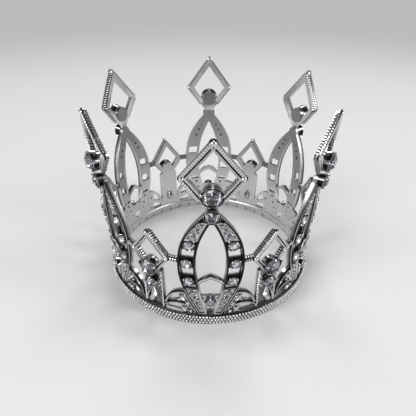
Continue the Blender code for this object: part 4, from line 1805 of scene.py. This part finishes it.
@dataclass
class ShortPoint(Casting):
    """A short point: a ridged rhombus on a stem, with a pair of leaves on each side."""

    kind: ClassVar[str] = "short_point"
    start: ClassVar[float] = 0.5
    row_nodes: ClassVar[dict[str, str]] = {}

    spire: Spire
    rhombus_z: float = 22.3 * MM
    rhombus_half: Point = (6.2 * MM, 8.4 * MM)
    rhombus_bar: float = 1.6 * MM
    bridge_half: float = 0.8 * MM
    bridge_front: float = -0.1 * MM
    bridge_shade: float = 0.45
    stem_half: float = 3.4 * MM
    stem_peak: float = 2.0 * MM
    stem_front: float = -0.5 * MM
    stem_round: float = 0.2 * MM
    stem_shade: float = 0.62
    stem_shade_d: float = -0.8 * MM
    shoulder_drop: float = 5.4 * MM
    leaf_top_z: float = 11.4 * MM
    leaf_handles: tuple[Point, ...] = ((0.12, 0.52), (0.41, 1.04))
    notch_z: float = 5.6 * MM
    rib_z: float = 6.7 * MM
    rib_foot_z: float = 4.4 * MM
    rib_handle: float = 0.3
    leaf_rail: float = 0.85 * MM
    leaf_steps: int = 8
    leaf_shade: float = 0.3
    rail_fronts: Triple = (0.0, -0.05 * MM, -0.1 * MM)
    end_rail: float = 0.8
    shadow: float = 0.22 * MM
    shadow_tone: float = 0.95
    sill_z: float = 3.35 * MM
    pane_ledge: float = 0.15 * MM
    upper_pane: Point = (5.0 * MM, 7.7 * MM)
    lower_pane: Point = (4.3 * MM, 8.2 * MM)
    slot: Triple = (5.0 * MM, 9.9 * MM, 0.6 * MM)  # lower end, upper end, half width
    slot_share: float = 0.75
    slot_points: int = 12
    tear: Triple = (1.6 * MM, 2.9 * MM, 1.9 * MM)  # half width, half height, d of its crest
    tear_z: float = 7.8 * MM
    tear_sink: float = 0.6 * MM
    tear_segments: int = 20
    tear_rings: int = 14
    tear_steps: Triple = (0.2, 0.45, 0.7)
    tear_taper: Triple = (0.78, 1.0, 0.86)
    tear_slot_share: float = 0.6
    tear_slot_length: float = 0.8
    tear_slot_rise: float = 0.95 * MM
    settings: ClassVar[tuple[Setting, ...]] = (
        Setting("brilliant", "_stone", 18.8 * MM, Cup(
            2.2 * MM, 1.4 * MM, claws=5, claw_turn=math.pi / 2, claw_radius=0.25 * MM, claw_reach=0.32 * MM)),
        Setting("stem_brilliant", "_stem_stone", 12.8 * MM, Cup(1.35 * MM, 0.8 * MM, claw_radius=0.28 * MM)))
    leaf_stones: tuple[LeafStone, ...] = (
        LeafStone(8.95 * MM, 8.8 * MM, 1.05 * MM), LeafStone(10.5 * MM, 7.0 * MM, 0.6 * MM),
        LeafStone(9.5 * MM, 4.5 * MM, 0.85 * MM), LeafStone(11.3 * MM, 4.0 * MM, 0.5 * MM))
    leaf_stone_d: float = -0.12 * MM
    grips: int = 4
    grip_reach: float = 1.02
    grip_radius: float = 0.3
    grip_d: float = -0.1 * MM
    grain: float = 0.38 * MM
    grain_pitch: float = 2.1
    grain_d: float = -0.45 * MM
    chevrons: tuple[tuple[Point, Point], ...] = (
        ((1.7 * MM, 13.6 * MM), (3.1 * MM, 15.6 * MM)), ((1.7 * MM, 12.0 * MM), (3.1 * MM, 14.0 * MM)),
        ((1.6 * MM, 10.4 * MM), (3.1 * MM, 12.4 * MM)))
    chevron_half: float = 0.3 * MM
    chevron_depths: Point = (-0.8 * MM, -0.15 * MM)
    chevron_shade: float = 0.8
    chevron_shade_d: float = -0.3 * MM

    def leaf_end(self, z: float) -> float:
        """Where the leaves stop, just short of the next spire."""
        return self.wall.half_sector(z) - u_at(self.spire.outer_edge(), z) - self.wall.gap

    def leaf_top(self) -> list[Point]:
        """Upper edge of the right leaves, from the stem out to the next spire."""
        end = (self.leaf_end(self.leaf_top_z), self.leaf_top_z)
        return swing((self.stem_half, self.notch_z), end, *self.leaf_handles)

    def leaf_rib(self) -> list[Point]:
        """Line between the two right leaves.

        Returns:
            Its points, from the stem out to the next spire.
        """
        start, end = self.stem_half, self.leaf_end(self.rib_foot_z)
        handle = self.rib_handle * (end - start)
        crest = self.rib_foot_z + CREST_HANDLE * (self.rib_z - self.rib_foot_z)
        return curve(
            (start, self.rib_foot_z), (start + handle, crest), (end - handle, crest), (end, self.rib_foot_z))

    def build_half(self) -> Piece:
        """The right half: leaves, slanted rails, a line of grains and a bridge."""
        return joined("half", [
            *self.build_leaves(), *self.build_chevrons(), *self.build_beading(), self.build_bridge()])

    def build_leaves(self) -> list[Piece]:
        """The two right leaves.

        Returns:
            A sunk, pierced floor, and the half-round rails over it.
        """
        top, rib, half = self.leaf_top(), self.leaf_rib(), self.leaf_rail / 2
        side = [(self.leaf_end(z), z) for z in spaced(self.leaf_top_z, self.wall.foot_z, self.leaf_steps)]
        outline = [*top, *side[1:], (self.stem_half, self.wall.foot_z)]
        floor = plate(outline[::-1], -self.wall.thickness, -self.wall.pocket)
        sill = [(0.0, self.sill_z), (side[-1][0], self.sill_z)]
        panes = [
            self.pane(beside(top, self.leaf_rail), beside(rib, -half), *self.upper_pane),
            self.pane(beside(rib, half), sill, *self.lower_pane)]
        holes = [self.wall.hole((stone.u, stone.z), stone.radius) for stone in self.leaf_stones]
        cut(floor, *[self.wall.through(pane) for pane in panes], *holes)
        # painted shade on the leaves' floor
        mark(floor, lambda place: self.wall.floor_shade(place, self.leaf_shade))
        rails = [
            self.build_rail(top, 0.0, self.leaf_rail, self.rail_fronts[0]),
            self.build_rail(rib, half, half, self.rail_fronts[1]),
            self.build_rail(side, 0.0, self.end_rail * self.leaf_rail, self.rail_fronts[2])]
        return [floor, *rails]

    def build_rail(self, line: Sequence[Point], left: float, right: float, front: float) -> Piece:
        """One rail of the leaves, with a painted shadow line along its left edge.

        Args:
            line: the points of the line that it follows.
            left: how far it reaches to the left of the line's direction.
            right: how far it reaches to the right.
            front: d of its crest.

        Returns:
            The rail.
        """
        rail = rounded_bar(line, left, right, self.wall.back(), front)
        edge = beside(line, -left)
        mark(rail, lambda place: self.shadow_tone * (
            apart(edge, place) < self.shadow and place.z > -self.wall.pocket))
        return rail

    def pane(self, roof: Sequence[Point], sill: Sequence[Point], start: float, end: float) -> list[Point]:
        """Outline of a window between two lines that run along the wall.

        Args:
            roof: the line over it.
            sill: the line under it.
            start: where it starts along the wall.
            end: where it ends.

        Returns:
            The outline, against the clock.
        """
        places = spaced(start, end, self.leaf_steps)
        low = [(u, z_at(sill, u) + self.pane_ledge) for u in places]
        return low + [(u, z_at(roof, u) - self.pane_ledge) for u in reversed(places)]

    def build_middle(self) -> list[Piece]:
        """The stem and the tear on it."""
        return [self.build_stem(), self.build_tear()]

    def build_stem(self) -> Piece:
        """The stem: a sunk plate with a slot through it.

        Returns:
            The stem.
        """
        shoulder_z = self.rhombus_z - self.shoulder_drop
        right = [(self.stem_half, self.wall.foot_z), (self.stem_half, shoulder_z)]
        right.append((0.0, shoulder_z + self.stem_peak))
        stem = plate(both_sides(right), -self.wall.thickness, self.stem_front)
        round_front(stem, self.stem_round)
        cut(stem, self.wall.through(self.slot_outline(self.slot_share)))
        # painted shade over the stem's front and the front of its sides
        mark(stem, lambda place: self.stem_shade * (place.z > self.stem_shade_d))
        return stem

    def slot_outline(self, share: float) -> list[Point]:
        """Pointed oval of the stem's slot.

        Args:
            share: its width, as a share of the slot's. Its height changes by as much as its half width.

        Returns:
            The outline, against the clock.
        """
        low, high, half = self.slot
        middle = (low + high) / 2
        half_height = (high - low) / 2 + (share - 1.0) * half
        bulge = (CREST_HANDLE * half * share, middle)
        return both_sides(curve(
            (0.0, middle - half_height), bulge, bulge, (0.0, middle + half_height), self.slot_points))

    def build_tear(self) -> Piece:
        """The polished tear over the lower part of the stem, shaped from a sphere and slotted.

        Returns:
            The tear.
        """
        width, height, crest = self.tear
        tear = start_from(
            bpy.ops.mesh.primitive_uv_sphere_add, segments=self.tear_segments, ring_count=self.tear_rings,
            radius=1.0)
        with editing(tear):
            select_all()
            resize((width, height, crest + self.tear_sink))
            for share in self.tear_steps:
                select(tear, Part.VERT, lambda vert: vert.co.y > share * height)
                resize(self.tear_taper)
            select_all()
            move((0.0, self.tear_z, -self.tear_sink))
        low, length = self.tear_z + self.tear_slot_rise, self.tear_slot_length
        oval = [(u, low + length * (z - self.tear_z)) for u, z in self.slot_outline(self.tear_slot_share)]
        depth = 2 * self.wall.thickness
        cut(tear, plate(oval, -depth, depth))
        return tear

    def build_chevrons(self) -> list[Piece]:
        """The slanted rails beside the stem's stone, which follow the rhombus's lower right edge.

        Returns:
            The rails.
        """
        half = self.chevron_half
        rails = [rounded_bar(line, half, half, *self.chevron_depths) for line in self.chevrons]
        for rail in rails:
            # painted shade on the rails' sides
            mark(rail, lambda place: self.chevron_shade * (place.z < self.chevron_shade_d))
        return rails

    def build_beading(self) -> list[Piece]:
        """The line of small grains up the right edge of the stem.

        Returns:
            The grains.
        """
        low, high = self.wall.foot_z + self.grain, self.rhombus_z - self.shoulder_drop - self.grain
        heights = spaced(low, high, round((high - low) / (self.grain_pitch * self.grain)))
        return [bead((self.stem_half - self.grain, z, self.grain_d), self.grain) for z in heights]

    def build_bridge(self) -> Piece:
        """The short ridged bar from the rhombus's right corner to the next spire.

        Returns:
            The bar.
        """
        # painted shade on the bridge's sides
        bar = RidgedBar(self.bridge_half, self.wall.back(), self.bridge_front, side_shade=self.bridge_shade)
        ends = (self.rhombus_half[0] - self.rhombus_bar, self.leaf_end(self.rhombus_z))
        return bar.build(*[(u, self.rhombus_z) for u in ends])

    def rhombus(self) -> Rhombus:
        """The rhombus at the top, with the first setting in its lower corner."""
        return Rhombus(
            self.wall.thickness, self.rhombus_z, self.rhombus_half, self.rhombus_bar, self.settings[0].z)

    def build_small_stones(self, box: StoneBox) -> tuple[dict[str, Piece], Piece]:
        """The small stones of all leaves, and the grains that hold those of the right leaves.

        Args:
            box: the stones to copy.

        Returns:
            The stones as one piece, and the grains as one.
        """
        stones, grains = [], []
        for stone in self.leaf_stones:
            place = (stone.u, stone.z, self.leaf_stone_d)
            stones.append(set_stone(box.small, place, stone.radius, stone.u / MM))
            reach = self.grip_reach * stone.radius
            for grip in range(self.grips):
                turn = FULL_TURN * (grip + 0.5) / self.grips
                u, z = stone.u + reach * math.cos(turn), stone.z + reach * math.sin(turn)
                grains.append(bead((u, z, self.grip_d), self.grip_radius * stone.radius))
        right = joined("right_leaves", stones)
        return {"leaf_brilliants": joined("leaves", [right, mirrored(right)])}, joined("grains", grains)


# Studio


@dataclass(frozen=True)
class Lamp:
    """One soft box."""

    name: str
    place: Triple
    size: Point
    power: float


@dataclass
class Studio:
    """Floor, soft boxes, the dim room around them and the camera."""

    floor_size: float = 3.0
    lamps: tuple[Lamp, ...] = (
        Lamp("key_box", (-0.42, -0.40, 0.62), (0.34, 0.34), 3.0),
        Lamp("fill_box", (0.55, -0.15, 0.45), (0.20, 0.36), 1.4),
        Lamp("top_box", (0.05, 0.25, 0.75), (0.42, 0.22), 2.6),
        Lamp("left_strip", (-0.56, -0.24, 0.13), (0.14, 0.24), 0.5),
        Lamp("right_strip", (0.56, -0.24, 0.13), (0.14, 0.24), 0.5))
    aim: Triple = (0.0, 0.0, 0.025)
    horizon: Colour = (0.50, 0.50, 0.51)
    ceiling: Colour = (0.04, 0.04, 0.042)
    ceiling_rise: Point = (0.42, 0.62)
    room_strength: float = 1.0
    elevation: float = math.radians(39.0207)
    distance: float = 4.350305 * Band.outer
    focal_pixels: float = 407.597
    image_pixels: float = 416.0
    sensor: float = 36.0
    clip: Point = (0.005, 20.0)
    yaw: float = math.radians(0.1958)
    pitch: float = math.radians(6.0458)
    roll: float = math.radians(-0.7218)
    turn: float = math.radians(-1.066)

    def build_floor(self) -> None:
        """The floor that the crown stands on."""
        floor = start_from(bpy.ops.mesh.primitive_plane_add, size=self.floor_size)
        floor.name = "studio_floor"
        floor.data.materials.append(FloorPaint().build())

    def build_lamp(self, lamp: Lamp) -> None:
        """Hangs one soft box, turned to the crown.

        Args:
            lamp: the soft box.
        """
        data = bpy.data.lights.new(lamp.name, "AREA")
        data.shape = "RECTANGLE"
        data.size, data.size_y = lamp.size
        data.energy = lamp.power
        obj = bpy.data.objects.new(lamp.name, data)
        bpy.context.scene.collection.objects.link(obj)
        obj.visible_camera = False
        obj.location = lamp.place
        obj.rotation_euler = (Vector(self.aim) - Vector(lamp.place)).to_track_quat("-Z", "Y").to_euler()

    def build_room(self) -> None:
        """The room, pale at the horizon and dim above."""
        world = bpy.data.worlds.new("studio_room")
        bpy.context.scene.world = world
        world.use_nodes = True
        graph = Graph(world.node_tree)
        height = graph.height(graph.node("ShaderNodeTexCoord", output="Generated"))
        colour = graph.mix(height.between(*self.ceiling_rise), self.horizon, self.ceiling)
        light = graph.node("ShaderNodeBackground", None, {"Color": colour, "Strength": self.room_strength})
        graph.show(light, "ShaderNodeOutputWorld")

    def build_camera(self) -> None:
        """The camera at the photograph's viewing angle."""
        place = self.distance * Vector((0.0, -math.cos(self.elevation), math.sin(self.elevation)))
        ahead, right = -place.normalized(), Vector((1.0, 0.0, 0.0))
        look = Matrix((right, right.cross(ahead), -ahead)).transposed().to_4x4()
        for angle, axis in ((self.yaw, "Y"), (self.pitch, "X"), (-self.roll, "Z")):
            look = look @ Matrix.Rotation(angle, 4, axis)
        data = bpy.data.cameras.new("camera")
        data.sensor_width = self.sensor
        data.lens = self.focal_pixels * self.sensor / self.image_pixels
        data.clip_start, data.clip_end = self.clip
        camera = bpy.data.objects.new("camera", data)
        bpy.context.scene.collection.objects.link(camera)
        camera.matrix_world = Matrix.Rotation(self.turn, 4, "Z") @ Matrix.Translation(place) @ look
        bpy.context.scene.camera = camera

    def build(self) -> None:
        """Sets up the studio."""
        self.build_floor()
        for lamp in self.lamps:
            self.build_lamp(lamp)
        self.build_room()
        self.build_camera()


def main() -> None:
    """Builds the crown's sub-assemblies in order, then the studio."""
    logging.basicConfig(level=logging.INFO, format="%(name)s: %(message)s")
    bpy.context.scene.view_settings.view_transform = "Standard"
    # the small stones get a brighter, rougher copy of the foil; the large stones keep the copy painted dark
    soft_foil = SilverFoil(
        "soft_foil", bright=(0.97, 0.97, 0.98), grey=(0.34, 0.34, 0.36), patch_size=0.6 * MM,
        least_roughness=0.12)
    finishes = Finishes(PlatedSilver().build(), CutGlass().build(), SilverFoil().build(), soft_foil.build())
    wall = Wall()
    spire = Spire(wall)
    box = StoneBox.filled(finishes)
    pieces = Band().dress(finishes)
    pieces += spire.dress(finishes, box)
    pieces += ShortPoint(wall, spire).dress(finishes, box)
    box.clear()
    for piece in pieces:
        log.info("%s: %d faces", piece.name, len(piece.data.polygons))
    Studio().build()


if __name__ == "__main__":
    main()
